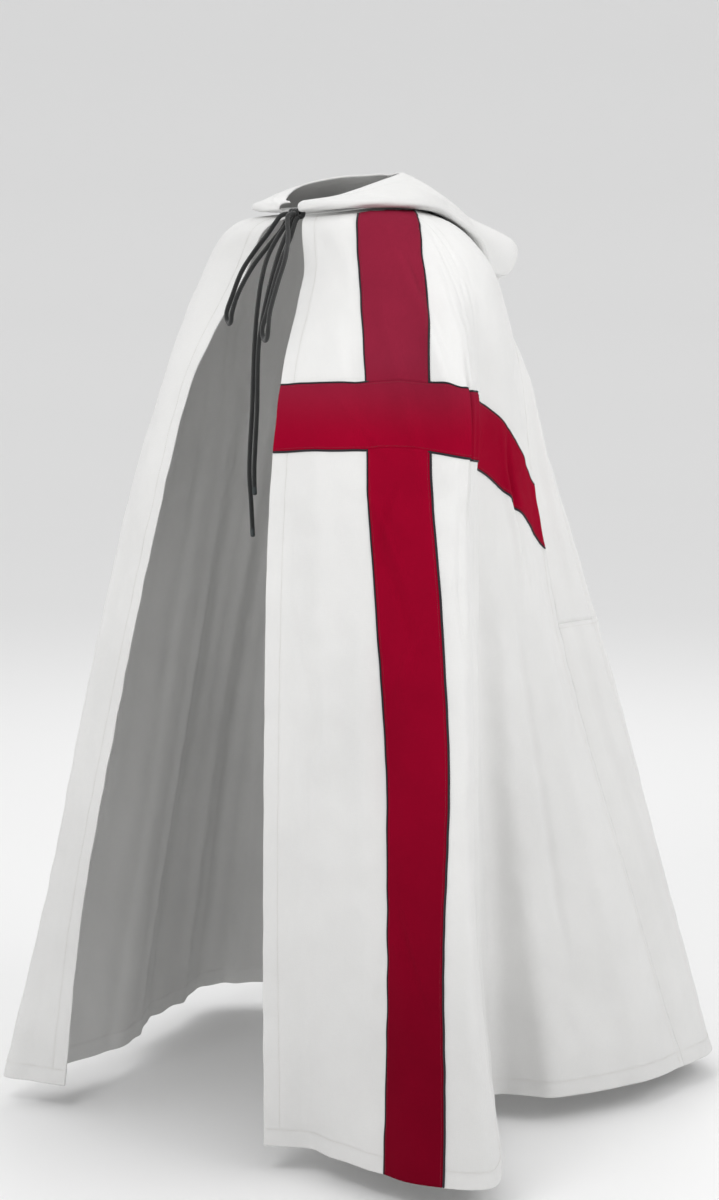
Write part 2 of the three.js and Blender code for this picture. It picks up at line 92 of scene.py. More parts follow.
# The middle of the cross's upright: distance down, share of the way round.
UPRIGHT = [
    (0, 0.8), (20, 0.836), (36, 0.862), (60, 0.8805), (95, 0.8958),
    (130, 0.9075), (190, 0.911), (240, 0.9105), (420, 0.9065), (600, 0.9003),
    (740, 0.8984), (880, 0.897), (1060, 0.898), (1240, 0.9), (1410, 0.9038),
]
# The middle of the cross's bar: line, distance down.
BAR = [
    ("left_seam", 540), ("left_back", 478), ("left_dimple", 434), ("left_valley", 404),
    ("elbow_ridge", 376), ("left_face", 366), ("left_front", 370), ("left_edge", 376),
]
UPRIGHT_TOP = 36.0  # the upright starts this far down, under the hood's roll

# ---- The hood: angle from the throat, then (reach, height) at each station, from under layer to rim ----
HOOD = [
    (12, (94, -8), (99, -9), (103, -9), (107, -7), (107, -3), (103, 1), (97, 3), (91, 3)),
    (40, (97, -5), (106, -6), (115, -6), (122, -4), (122, 1), (115, 5), (102, 8), (87, 9)),
    (62, (96, -2), (108, -3), (119, -4), (127, -1), (127, 4), (119, 9), (104, 16), (87, 19)),
    (90, (96, 2), (112, -1), (127, -4), (139, -1), (139, 5), (129, 14), (112, 27), (90, 34)),
    (110, (98, 4), (118, -1), (136, -5), (149, -4), (149, 3), (138, 16), (115, 32), (89, 42)),
    (125, (104, 5), (128, -4), (148, -11), (164, -14), (165, -6), (150, 12), (120, 34), (88, 46)),
    (138, (112, 4), (145, -10), (176, -29), (200, -47), (201, -38), (172, -4), (128, 28), (88, 48)),
    (155, (112, 2), (150, -19), (202, -62), (232, -94), (234, -83), (202, -32), (140, 20), (89, 49)),
    (168, (114, -1), (158, -31), (226, -92), (282, -100), (286, -84), (226, -24), (152, 24), (91, 50)),
    (180, (116, -3), (162, -38), (286, -114), (352, -76), (350, -46), (250, -10), (160, 32), (93, 48)),
]
SEAM_LIFT = (1.3, 2.3)  # the hood's seam stands this far out from the neckline and above it
RIGHT_SPREAD = 0.55  # how much wider the hood lies on the wearer's right

# ---- The throat cord ----
KNOT_Y, KNOT_Z, KNOT_REACH, KNOT_LENGTH = -92.0, -13.0, 9.0, 29.8


# ---- Small helpers ----
def soft_step(value, start, end):
    t = np.clip((value - start) / (end - start), 0, 1)
    return t * t * (3 - 2 * t)


def mix(a, b, t):
    return a + (b - a) * t


def bell(value, width):
    return np.exp(-((value / width) ** 2))


def unit_rows(v):
    return v / np.maximum(np.linalg.norm(v, axis=-1, keepdims=True), 1e-9)


def run_lengths(points, axis=0):
    """Distance along lines of points, from the first point of each."""
    steps = np.linalg.norm(np.diff(points, axis=axis), axis=-1)
    return np.cumsum(np.insert(steps, 0, 0.0, axis=axis), axis=axis)


def quads(*corners):
    """Four-sided faces from four matching arrays of vertex numbers."""
    return np.stack([np.ravel(corner) for corner in corners], 1).tolist()


def floats(*values):
    """Matching arrays of numbers."""
    return np.broadcast_arrays(*(np.asarray(value, float) for value in values))


# ---- Curves through tables ----
def smooth(knots, values, at, each=False):
    """Cubic curve through values at rising knots, each slope taken from its two neighbours.

    values is one table for all samples, or with each, one table for each sample.
    """
    knots, values, at = (np.asarray(given, float) for given in (knots, values, at))
    last = len(knots) - 1
    i = np.clip(np.searchsorted(knots, at, side="left") - 1, 0, last - 1)
    pick = (np.arange(len(at)),) if each else ()
    grow = (slice(None),) + (None,) * (values.ndim - (2 if each else 1))

    def slope(k):
        before, after = np.maximum(k - 1, 0), np.minimum(k + 1, last)
        return (values[(*pick, after)] - values[(*pick, before)]) / (knots[after] - knots[before])[grow]

    span = knots[i + 1] - knots[i]
    t, span = ((at - knots[i]) / span)[grow], span[grow]
    return (
        values[(*pick, i)] * (1 + 2 * t) * (1 - t) ** 2
        + slope(i) * span * t * (1 - t) ** 2
        + values[(*pick, i + 1)] * t * t * (3 - 2 * t)
        + slope(i + 1) * span * t * t * (t - 1)
    )


def around(angle, reach, z):
    a = np.radians(angle)
    return np.stack(np.broadcast_arrays(-reach * np.sin(a), -reach * np.cos(a), z), -1)


def neck_point(angle):
    front = np.cos(np.radians(angle))
    reach = mix(NECK_SIDE, NECK_FRONT, front * front)
    return around(angle, reach, mix(NECK_BACK_HEIGHT, NECK_FRONT_HEIGHT, (1 + front) / 2))


# ---- The cape's surface ----
FIRST_ANGLE, LAST_ANGLE = LINES[0][1][0], LINES[-1][1][0]
NECK_SPREAD = (360 - 2 * THROAT_ANGLE) / (LAST_ANGLE - FIRST_ANGLE)
DOWNS = np.array([0, COLLARBONE_DOWN] + [down for down, _ in LEVELS], float)


def line_points(row):
    """One line's points at the neckline, the collarbone and each level."""
    angle, reach = row[1]
    neck_angle = THROAT_ANGLE + (angle - FIRST_ANGLE) * NECK_SPREAD
    neck = neck_point(neck_angle)
    neck_reach = math.hypot(neck[0], neck[1])
    drop = COLLARBONE_DROP + COLLARBONE_EXTRA * math.cos(math.radians(angle)) ** 2
    turn_part, reach_part = COLLARBONE_PART
    collarbone = around(mix(neck_angle, angle, turn_part), mix(neck_reach, reach, reach_part), -drop)
    return [neck, collarbone] + [around(*at, height) for at, (_, height) in zip(row[1:], LEVELS)]


LINE_POINTS = np.array([line_points(row) for row in LINES])
STEP_SIZES = np.linalg.norm(np.diff(LINE_POINTS, axis=0), axis=2)
SHARES = np.concatenate([[0], np.cumsum((STEP_SIZES[:, WAIST_ROW] + STEP_SIZES[:, -1]) / 2)])
SHARES /= SHARES[-1]


def share_of(name):
    return SHARES[[row[0] for row in LINES].index(name)]


def cape_points(share, down):
    """Points at matching arrays of share and down."""
    share, down = floats(share, down)
    rings = smooth(DOWNS, np.moveaxis(LINE_POINTS, 1, 0), down.ravel())
    return smooth(SHARES, rings, share.ravel(), each=True).reshape(share.shape + (3,))


# ---- Creases: soft ridges and troughs, each a path down the cloth ----
CREASE_DEPTH = 1.5
SWAY = 0.0011  # how far a crease wanders, in shares
FADE_RUN = 140.0  # down the cloth, over which a crease begins or ends
# [(share, down), ...], half width, height out (a trough is below zero)
CREASES = [
    # left front: drag lines from the shoulder to the elbow, then soft swells down the front
    ([(0.905, 60), (0.889, 190), (0.874, 330), (0.868, 430)], 13, 3.6),
    ([(0.893, 90), (0.878, 220), (0.862, 340)], 13, -3.0),
    ([(0.935, 120), (0.915, 250), (0.892, 420), (0.884, 560)], 16, 2.2),
    ([(0.955, 200), (0.93, 420), (0.918, 620), (0.915, 1000)], 19, -2.4),
    ([(0.972, 300), (0.962, 600), (0.958, 1410)], 26, 3.4),
    ([(0.983, 500), (0.978, 900), (0.976, 1410)], 17, -3.0),
    ([(0.935, 560), (0.936, 900), (0.934, 1410)], 24, 3.4),
    ([(0.918, 640), (0.92, 1000), (0.922, 1410)], 15, -2.6),
    ([(0.884, 480), (0.88, 900), (0.881, 1410)], 15, 2.4),
    ([(0.96, 330), (0.925, 400), (0.9, 460)], 12, 1.8),
    ([(0.935, 450), (0.915, 520), (0.899, 610)], 7, 2.6),
    ([(0.925, 540), (0.907, 610), (0.893, 720)], 7, -2.6),
    ([(0.9, 440), (0.912, 500), (0.922, 570)], 7, -2.2),
    ([(0.885, 640), (0.9, 700), (0.913, 790)], 7, 2.2),
    ([(0.916, 1010), (0.905, 1100), (0.888, 1210)], 8, -1.8),
    ([(0.953, 760), (0.968, 880), (0.971, 1010)], 9, 1.6),
    ([(0.985, 620), (0.972, 740), (0.957, 860)], 9, -1.5),
    # elbow: a lip over a deep tuck, and a hollow under the bar
    ([(0.858, 280), (0.854, 400), (0.851, 520)], 8, 6.0),
    ([(0.845, 260), (0.841, 400), (0.837, 560)], 9, -14.0),
    ([(0.828, 270), (0.822, 400), (0.817, 540)], 10, 3.0),
    ([(0.862, 440), (0.861, 560), (0.86, 720)], 13, -5.0),
    ([(0.866, 820), (0.869, 960), (0.87, 1090)], 18, -4.0),
    ([(0.87, 1080), (0.871, 1230), (0.872, 1410)], 15, 3.0),
    # side: the fold that crosses the bar, then broad soft folds to the hem
    ([(0.716, 360), (0.704, 450), (0.686, 560), (0.68, 700)], 10, 4.2),
    ([(0.705, 360), (0.692, 450), (0.673, 560), (0.667, 700)], 9, -5.0),
    ([(0.83, 560), (0.824, 760), (0.826, 1410)], 15, 6.0),
    ([(0.803, 560), (0.8, 900), (0.798, 1410)], 15, -6.0),
    ([(0.79, 420), (0.778, 600), (0.774, 1410)], 16, 5.0),
    ([(0.745, 420), (0.738, 800), (0.735, 1410)], 25, -5.2),
    ([(0.716, 600), (0.712, 900), (0.713, 1410)], 22, 5.0),
    ([(0.69, 640), (0.687, 900), (0.6885, 1240)], 8, -3.0),
    ([(0.66, 640), (0.657, 900), (0.657, 1410)], 28, 5.0),
    ([(0.634, 560), (0.623, 960), (0.626, 1410)], 19, -6.0),
    # back
    ([(0.6, 220), (0.601, 700), (0.603, 1410)], 16, 5.0),
    ([(0.578, 300), (0.577, 760), (0.577, 1410)], 15, -6.0),
    ([(0.556, 260), (0.553, 700), (0.551, 1410)], 15, 5.0),
    ([(0.527, 240), (0.525, 800), (0.524, 1410)], 16, -6.0),
    ([(0.505, 360), (0.501, 760), (0.498, 1410)], 15, 5.5),
    ([(0.478, 300), (0.475, 720), (0.473, 1410)], 15, -5.5),
    ([(0.455, 340), (0.45, 760), (0.447, 1410)], 14, 5.0),
    ([(0.43, 280), (0.426, 760), (0.424, 1410)], 15, -5.0),
    ([(0.404, 360), (0.4, 800), (0.399, 1410)], 14, 5.0),
    ([(0.378, 300), (0.374, 820), (0.373, 1410)], 14, -5.0),
    # right side and right front
    ([(0.338, 380), (0.334, 800), (0.332, 1410)], 13, 4.5),
    ([(0.315, 300), (0.312, 760), (0.31, 1410)], 14, -5.0),
    ([(0.29, 240), (0.287, 700), (0.286, 1410)], 15, 5.0),
    ([(0.266, 300), (0.262, 800), (0.26, 1410)], 14, -5.0),
    ([(0.242, 360), (0.238, 760), (0.236, 1410)], 14, 4.5),
    ([(0.218, 240), (0.213, 700), (0.211, 1410)], 15, -4.5),
    ([(0.19, 260), (0.186, 760), (0.184, 1410)], 14, 4.5),
    ([(0.16, 220), (0.155, 800), (0.153, 1410)], 14, -4.0),
    ([(0.128, 300), (0.122, 700), (0.12, 1410)], 14, 3.5),
    ([(0.088, 260), (0.083, 800), (0.082, 1410)], 14, -3.5),
    ([(0.045, 340), (0.042, 800), (0.041, 1410)], 13, 3.0),
    ([(0.11, 80), (0.14, 220), (0.165, 380)], 14, 3.0),
    ([(0.085, 100), (0.115, 240), (0.14, 400)], 13, -3.0),
]


def relief(share, down, scale):
    """How far the creases lift the cloth. scale is millimetres of cloth per share."""
    lift = np.zeros(share.shape)
    low = np.clip(down / LENGTH, 0, 1)
    for k, (path, half_width, height) in enumerate(CREASES):
        knots = np.array(path, float)
        start, stop = knots[0, 1], knots[-1, 1]
        middle = smooth(knots[:, 1], knots[:, :1], np.clip(down, start, stop).ravel())
        sway = SWAY * np.sin(down / (83.0 + 7 * (k % 5)) + 1.9 * k) * np.clip(down / 400.0, 0, 1)
        away = (share - middle.reshape(down.shape) - sway) * scale
        run = min(FADE_RUN, 0.42 * (stop - start))
        fade = soft_step(down, start, start + run)
        if stop < LENGTH:
            fade = fade * (1 - soft_step(down, stop - run, stop))
        steep, easy = (0.8, 1.4) if k % 2 else (1.4, 0.8)
        width = half_width * (0.7 + 0.6 * low) * np.where(away > 0, steep, easy)
        uneven = 1 + 0.25 * np.sin(down / (131.0 + 11 * (k % 4)) + 2.3 * k)
        lift += CREASE_DEPTH * height * uneven * fade * bell(away, width)
    return lift


TUCK_SHARE, TUCK_SPREAD = 0.842, 0.014
NEAR_EDGE = np.array([0, 1.2, 2.6, 5, 9, 14, HEM - 3, HEM - 1, HEM + 0.6, HEM + 4, HEM + 12])


def row_table(share_a, share_b, down, count=320):
    """Shares across one row and the length of cloth up to each of them."""
    shares = np.linspace(share_a, share_b, count)
    return shares, run_lengths(cape_points(shares, np.full(count, down)))


def spaced(length, step_count):
    """Positions along a row: close together near both edges, even between."""
    near = NEAR_EDGE * min(1.0, 0.4 * length / NEAR_EDGE[-1])
    middle = np.linspace(near[-1], length - near[-1], step_count)
    return np.concatenate([near[:-1], middle, (length - near[:-1])[::-1]])


def closeness(share):
    """How much closer together the columns stand here: three times, beside the elbow's tuck."""
    return 1 + 2 * bell(share - TUCK_SHARE, TUCK_SPREAD)


def cloth_grid(share_a, share_b, downs, step_count):
    """Shares, lengths across and downs for a panel's grid."""
    shares, acrosses = [], []
    for down in downs:
        table_shares, lengths = row_table(share_a, share_b, down)
        measure = np.concatenate([[0], np.cumsum(np.diff(lengths) * closeness(table_shares[1:]))])
        positions = spaced(measure[-1], step_count)
        shares.append(np.interp(positions, measure, table_shares))
        acrosses.append(np.interp(positions, measure, lengths))
    shares, acrosses = np.array(shares), np.array(acrosses)
    return shares, acrosses, np.broadcast_to(np.asarray(downs)[:, None], shares.shape)


# ---- Meshes ----
def in_scene(name, data):
    made = bpy.data.objects.new(name, data)
    bpy.context.scene.collection.objects.link(made)
    return made


def axes(across, up, back):
    """A turn that gives an object's own axes these directions."""
    return Matrix([[*across, 0], [*up, 0], [*back, 0], [0, 0, 0, 1]]).transposed()


def smooth_mesh(name, verts, faces, material):
    """A smoothly shaded mesh, in metres."""
    mesh = bpy.data.meshes.new(name)
    mesh.from_pydata([tuple(v) for v in verts], [], faces)
    mesh.validate()
    mesh.polygons.foreach_set("use_smooth", [True] * len(mesh.polygons))
    mesh.update()
    mesh.materials.append(material)
    return mesh


def add_object(name, verts, faces, uv, material):
    """A piece given in millimetres, with its cloth map."""
    mesh = smooth_mesh(name, np.asarray(verts) * MM, faces, material)
    layer = mesh.uv_layers.new(name="cloth")
    loops = np.empty(len(mesh.loops), dtype=np.int64)
    mesh.loops.foreach_get("vertex_index", loops)
    layer.data.foreach_set("uv", (np.asarray(uv)[loops] * MM).ravel())
    return in_scene(name, mesh)


def shell(name, outer, inner, uv, material):
    """A closed wall between two grids, with a rounded edge all round."""
    rows, columns = outer.shape[:2]
    count = rows * columns
    index = np.arange(count).reshape(rows, columns)
    ring = np.concatenate([index[0, :], index[1:, -1], index[-1, -2::-1], index[-2:0:-1, 0]])
    inward = np.concatenate([index[1, :], index[1:, -2], index[-2, -2::-1], index[-2:0:-1, 1]])
    middle = ((outer + inner) / 2).reshape(-1, 3)
    thick = np.linalg.norm((outer - inner).reshape(-1, 3)[ring], axis=1)[:, None]
    rim = middle[ring] + unit_rows(middle[ring] - middle[inward]) * thick * RIM_BULGE
    verts = np.concatenate([outer.reshape(-1, 3), inner.reshape(-1, 3), rim])
    uvs = uv.reshape(-1, 2)
    a, b = index[:-1, :-1], index[:-1, 1:]
    c, d = index[1:, 1:], index[1:, :-1]
    following = np.roll(ring, -1)
    edge = 2 * count + np.arange(len(ring))
    next_edge = np.roll(edge, -1)
    faces = (
        quads(a, b, c, d)
        + quads(d + count, c + count, b + count, a + count)
        + quads(following, ring, edge, next_edge)
        + quads(next_edge, edge, ring + count, following + count)
    )
    return add_object(name, verts, faces, np.concatenate([uvs, uvs, uvs[ring]]), material)


# ---- The hood's surface ----
HOOD_ANGLES = [row[0] for row in HOOD]
HOOD_FIRST = float(HOOD_ANGLES[0])
HOOD_TABLE = np.array([row[1:] for row in HOOD], float)
LAST_STATION = HOOD_TABLE.shape[1]


def hood_points(angle, station):
    """Points at matching arrays of angle, from the front over the wearer's right, and station, 0 to 8."""
    angle, station = floats(angle, station)
    turn = angle.ravel()
    half = np.where(turn <= 180, turn, 360 - turn)
    neck = neck_point(half)
    seam = np.stack([np.hypot(neck[:, 0], neck[:, 1]) + SEAM_LIFT[0], neck[:, 2] + SEAM_LIFT[1]], -1)
    sections = np.concatenate([seam[:, None], smooth(HOOD_ANGLES, HOOD_TABLE, half)], axis=1)
    at = smooth(np.arange(sections.shape[1]), sections, station.ravel(), each=True)
    spread = np.where(turn < 180, 1 + RIGHT_SPREAD * np.sin(np.radians(turn)) ** 2, 1)
    reach = seam[:, 0] + (at[:, 0] - seam[:, 0]) * spread
    return around(turn, reach, at[:, 1]).reshape(angle.shape + (3,))


# ---- Materials ----
def fill(tree, node, inputs):
    """Sets a node's inputs: each is a value, or the socket that it is linked from."""
    for key, value in inputs.items():
        if isinstance(value, bpy.types.NodeSocket):
            tree.links.new(value, node.inputs[key])
        else:
            node.inputs[key].default_value = value


def add_node(tree, kind, inputs=None, **settings):
    """A new node's outputs, once its settings and then its inputs are given."""
    node = tree.nodes.new(kind)
    for key, value in settings.items():
        setattr(node, key, value)
    fill(tree, node, inputs or {})
    return node.outputs


def ramp(tree, value, start, stop, at_start, at_stop, easing="SMOOTHSTEP"):
    inputs = {"Value": value, "From Min": start, "From Max": stop, "To Min": at_start, "To Max": at_stop}
    return add_node(tree, "ShaderNodeMapRange", inputs, interpolation_type=easing)["Result"]


def plain(name, color, roughness):
    """A material of one even color."""
    material = bpy.data.materials.new(name)
    material.use_nodes = True
    tree = material.node_tree
    fill(tree, tree.nodes["Principled BSDF"], {"Base Color": (*color, 1), "Roughness": roughness})
    return material


def fabric(
    name, color, weave_pitch, weave_depth, mottle,
    roughness=0.88, sheen=0.25, gloss=0.14, painted_sheen=None, hem_painted_shade=1.0,
):
    """A woven cloth on the piece's own cloth map: warp and weft, slubs, soft creasing, faint mottling."""
    material = plain(name, color, roughness)
    tree = material.node_tree
    add = partial(add_node, tree)
    cloth_map = add("ShaderNodeUVMap", uv_map="cloth")["UV"]
    place = add("ShaderNodeTexCoord")["Object"]
    height = add("ShaderNodeSeparateXYZ", {"Vector": place})["Z"]

    def wave(direction):
        inputs = {
            "Vector": cloth_map, "Scale": 2 * math.pi / (20 * weave_pitch),
            "Distortion": 0.6, "Detail": 1.0, "Detail Scale": 2.0,
        }
        return add("ShaderNodeTexWave", inputs, bands_direction=direction)["Fac"]

    def noise(scale, detail, vector, stretch=None):
        if stretch:
            vector = add("ShaderNodeMapping", {"Vector": vector, "Scale": stretch})["Vector"]
        return add("ShaderNodeTexNoise", {"Vector": vector, "Scale": scale, "Detail": detail})["Fac"]

    def calculate(operation, *values):
        return add("ShaderNodeMath", dict(enumerate(values)), operation=operation)[0]

    def blend(a, b, factor, how):
        inputs = {"A": a, "B": b, "Factor": factor}
        return add("ShaderNodeMix", inputs, data_type="RGBA", blend_type=how)["Result"]

    def bump(strength, distance, depth, **under):
        inputs = {"Strength": strength, "Distance": distance, "Height": depth, **under}
        return add("ShaderNodeBump", inputs)["Normal"]

    threads = calculate("MAXIMUM", wave("X"), wave("Y"))
    slubs = noise(900, 2, cloth_map, (0.08, 1.0, 1.0))
    yarns = noise(900, 2, cloth_map, (1.0, 0.08, 1.0))
    streaks = calculate("ADD", slubs, yarns)
    patches = ramp(tree, noise(5.5, 4, place), 0.3, 0.7, 1 - mottle, 1 + mottle * 0.4, "LINEAR")
    fine = calculate("MULTIPLY_ADD", streaks, mottle * 0.9, 1 - mottle * 0.9)
    shade = calculate("MULTIPLY", patches, fine)
    shade = calculate("MULTIPLY", shade, calculate("MULTIPLY_ADD", threads, 0.12, 0.9))
    # painted shade: the colour darkens toward the hem
    shade = calculate("MULTIPLY", shade, ramp(tree, height, *HEM_SHADE, hem_painted_shade, 1.0))
    # painted sheen: a second, paler colour blended in toward the shoulder
    dye_and_painted_sheen = blend((*color, 1), (*(painted_sheen or color), 1), ramp(tree, height, *PAINTED_SHEEN_HEIGHTS, 0.0, 1.0), "MIX")
    grey = add("ShaderNodeCombineColor", dict.fromkeys(("Red", "Green", "Blue"), shade))["Color"]
    soft_creases = bump(0.45, 0.004, noise(8, 3, cloth_map, (1.5, 0.8, 1.0)))
    weave = calculate("ADD", threads, calculate("MULTIPLY", streaks, 0.8))
    look = {
        "Base Color": blend(dye_and_painted_sheen, grey, 1.0, "MULTIPLY"),
        "Sheen Weight": sheen,
        "Sheen Roughness": 0.6,
        "Specular IOR Level": gloss,
        "Normal": bump(0.5, weave_depth, weave, Normal=soft_creases),
    }
    fill(tree, tree.nodes["Principled BSDF"], look)
    return material


# Heights, in metres, between which painted shade darkens a colour toward the hem, and over which a painted
# sheen pales it toward the shoulder.
HEM_SHADE, PAINTED_SHEEN_HEIGHTS = (-1.5, -0.3), (-0.34, -0.22)
CLOTH_WHITE = (0.80, 0.797, 0.787)
# The cotton's colour holds painted shade, darker toward the hem.
COTTON = fabric("off_white_cotton", CLOTH_WHITE, 0.0009, 0.00025, 0.05, hem_painted_shade=0.88)
# The hood's cotton is the same cloth, made darker as painted shade.
SHADED_HOOD_COTTON = fabric("hood_cotton", (0.77, 0.767, 0.757), 0.0009, 0.00025, 0.05)
# The red holds a painted sheen, paler and pinker toward the shoulder, and painted shade, much darker toward
# the hem.
RED = fabric(
    "red_cotton", (0.32, 0.0013, 0.0215), 0.0008, 0.0002, 0.14,
    roughness=0.85, sheen=0.0, gloss=0.03, painted_sheen=(0.26, 0.016, 0.042), hem_painted_shade=0.47,
)
DARK = fabric("dark_edging", (0.02, 0.017, 0.022), 0.0007, 0.0002, 0.2, roughness=0.75, sheen=0.1)
BRAID = fabric("charcoal_braid", (0.016, 0.017, 0.017), 0.0006, 0.00015, 0.25, roughness=0.7, sheen=0.3)
TIP = fabric("sealed_tip", (0.06, 0.068, 0.07), 0.0006, 0.00003, 0.1, roughness=0.45, sheen=0.0)
THREAD = fabric("cotton_thread", (0.74, 0.72, 0.68), 0.0005, 0.0001, 0.05)
RED_THREAD = fabric("red_thread", (0.2, 0.003, 0.016), 0.0005, 0.0001, 0.05, gloss=0.06)


# ---- Camera, floor and light ----
CAMERA_PLACE = (2.9876, -2.5069, -0.14)
VIEW_TURN, VIEW_DROP = math.radians(50.0), math.radians(6.7)
LENS_PIXELS = 2555.0
HEIGHT_PIXELS = 1200.0
SIDE_PIXELS = 344.0 - 719.0 / 2  # the view's centre line, from the middle of the picture
SENSOR = 36.0


def look_way():
    """The camera's turn: along the view, and a little aside so the object stands in the middle."""
    sway = -math.atan(SIDE_PIXELS / LENS_PIXELS / math.cos(VIEW_DROP))
    view = np.array([-math.sin(VIEW_TURN), math.cos(VIEW_TURN), 0])
    right = np.array([math.cos(VIEW_TURN), math.sin(VIEW_TURN), 0])
    level = view * math.cos(sway) + right * math.sin(sway)
    ahead_way = level * math.cos(VIEW_DROP) - np.array([0, 0, math.sin(VIEW_DROP)])
    across = unit_rows(np.cross(ahead_way, [0, 0, 1]))
    return axes(across, np.cross(across, ahead_way), -ahead_way)


camera_data = bpy.data.cameras.new("camera")
camera_data.sensor_fit = "AUTO"
camera_data.sensor_width = SENSOR
camera_data.lens = SENSOR * LENS_PIXELS / HEIGHT_PIXELS
camera = in_scene("camera", camera_data)
camera.matrix_world = Matrix.Translation(CAMERA_PLACE) @ look_way()
bpy.context.scene.camera = camera

# A round floor whose far edge sweeps up, so no horizon shows.
FLOOR_Z = -1.36
FLOOR_SIDES = 96
SWEEP = [(9.0, 0.0), (10.2, 0.12), (11.3, 0.5), (12.2, 1.1), (12.8, 1.9), (13.1, 2.8), (13.2, 3.6)]
floor_turns = np.linspace(0, 360, FLOOR_SIDES, endpoint=False)
floor_rings = [around(floor_turns, reach, FLOOR_Z + rise) for reach, rise in SWEEP]
ring_index = 1 + np.arange(len(SWEEP) * FLOOR_SIDES).reshape(len(SWEEP), FLOOR_SIDES)
ring_after = np.roll(ring_index, -1, axis=1)
floor_faces = [[0, ring_after[0, k], ring_index[0, k]] for k in range(FLOOR_SIDES)]
floor_faces += quads(ring_index[:-1], ring_after[:-1], ring_after[1:], ring_index[1:])
floor_verts = np.concatenate([[[0, 0, FLOOR_Z]], *floor_rings])
floor_look = plain("pale_floor", (0.86, 0.86, 0.86), 0.95)
floor = in_scene("floor", smooth_mesh("floor", floor_verts, floor_faces, floor_look))

# Soft light all round, brighter on the side of the wearer's right.
LIGHT_WAY = (-0.50, -0.58, 0.64)
DARK_SIDE, LIGHT_SIDE = 0.78, 0.84
world = bpy.data.worlds.new("studio")
world.use_nodes = True
sky = world.node_tree
sky_place = add_node(sky, "ShaderNodeTexCoord")["Generated"]
sky_ways = {0: sky_place, 1: LIGHT_WAY}
toward = add_node(sky, "ShaderNodeVectorMath", sky_ways, operation="DOT_PRODUCT")["Value"]
sky_light = {"Color": (1.0, 1.0, 1.0, 1), "Strength": ramp(sky, toward, -0.7, 0.25, DARK_SIDE, LIGHT_SIDE)}
fill(sky, sky.nodes["Background"], sky_light)
bpy.context.scene.world = world
bpy.context.scene.view_settings.view_transform = "Standard"


def soft_light(name, place, target, size, power):
    data = bpy.data.lights.new(name, "AREA")
    data.shape = "DISK"
    data.size = size
    data.energy = power
    back = unit_rows(np.array(place, float) - np.array(target, float))
    across = unit_rows(np.cross([0, 0, 1], back))
    light = in_scene(name, data)
    light.matrix_world = Matrix.Translation(place) @ axes(across, np.cross(back, across), back)


soft_light("key_light", (0.8, -1.9, 1.2), (0, 0, -0.3), 1.0, 18)
soft_light("side_light", (2.5, 1.0, 1.1), (0.3, 0.1, -0.5), 1.8, 22)
soft_light("back_light", (-2.6, 2.4, 2.2), (0, 0, -0.4), 2.0, 30)


# ---- The throat cord: its routes, then its braid ----
KNOT_FACE = KNOT_REACH * math.cos(math.pi / 8) + SEAM_GAP
LEAD = 5.0  # a cord runs straight this far where it meets the knot


def ahead(x, out=0.0):
    return (x, KNOT_Y - KNOT_FACE - out, KNOT_Z)


def ahead_down(x, out=0.0):
    step = (KNOT_FACE + out) * math.sqrt(0.5)
    return (x, KNOT_Y - step, KNOT_Z - step)


CORD_ROUTES = {
    "tie_loop_right": [
        ahead(-7.5), ahead(-7.5, LEAD), (-9, -115, -16.5), (-14, -120.5, -26), (-25, -126, -42),
        (-41, -139, -68), (-48, -158, -98), (-52, -173, -134), (-54.5, -182, -160), (-50.5, -183.5, -171),
        (-41.5, -187, -175), (-32.5, -190.5, -171), (-28.5, -192, -160), (-28, -180, -130),
        (-25, -156, -92), (-20, -131, -62), (-14, -109, -36), ahead_down(-11.2, LEAD), ahead_down(-11.2),
    ],
    "tie_loop_left": [
        ahead(7.5), ahead(7.5, LEAD), (9, -115, -16.5), (15, -121, -26), (29, -131, -46), (46.5, -150, -78),
        (57, -174, -118), (66, -195, -158), (71.6, -203, -182), (68, -202, -194), (58.6, -198, -198.5),
        (49.2, -194.5, -194), (45.6, -193, -182), (46, -184, -156), (41, -168, -120), (32, -146, -82),
        (19, -117, -45), ahead_down(11.3, LEAD), ahead_down(11.3),
    ],
    "tie_end_right": [
        ahead_down(-3.7), ahead_down(-3.7, LEAD), (-5, -122, -46), (0, -146, -76), (12, -168, -112),
        (22, -184, -156), (28, -194, -206), (28, -199, -300), (22, -200, -390), (25, -199, -440),
        (27, -198, -487),
    ],
    "tie_end_left": [
        ahead_down(3.8), ahead_down(3.8, LEAD), (10, -120, -45), (20, -144, -78), (30, -164, -112),
        (36, -181, -152), (38, -194, -206), (37, -197, -300), (31, -198, -390), (32, -198, -425),
    ],
}
ROUTE_SPACING = 1.1


def along_route(points):
    """Even points on a centripetal curve through a route, and the length up to each."""
    pts = np.array(points, float)
    pts = np.concatenate([[2 * pts[0] - pts[1]], pts, [2 * pts[-1] - pts[-2]]])
    fine = []
    for k in range(1, len(pts) - 2):
        p0, p1, p2, p3 = pts[k - 1 : k + 3]
        t1 = math.sqrt(np.linalg.norm(p1 - p0))
        t2 = t1 + math.sqrt(np.linalg.norm(p2 - p1))
        t3 = t2 + math.sqrt(np.linalg.norm(p3 - p2))
        for t in np.linspace(t1, t2, 24, endpoint=False):
            part = (t - t1) / (t2 - t1)
            before, here, after = mix(p0, p1, t / t1), mix(p1, p2, part), mix(p2, p3, (t - t2) / (t3 - t2))
            fine.append(mix(mix(before, here, t / t2), mix(here, after, (t - t1) / (t3 - t1)), part))
    fine = np.array(fine + [pts[-2]])
    lengths = run_lengths(fine)
    at = np.linspace(0, lengths[-1], max(8, int(lengths[-1] / ROUTE_SPACING)))
    return np.stack([np.interp(at, lengths, fine[:, k]) for k in range(3)], -1), at


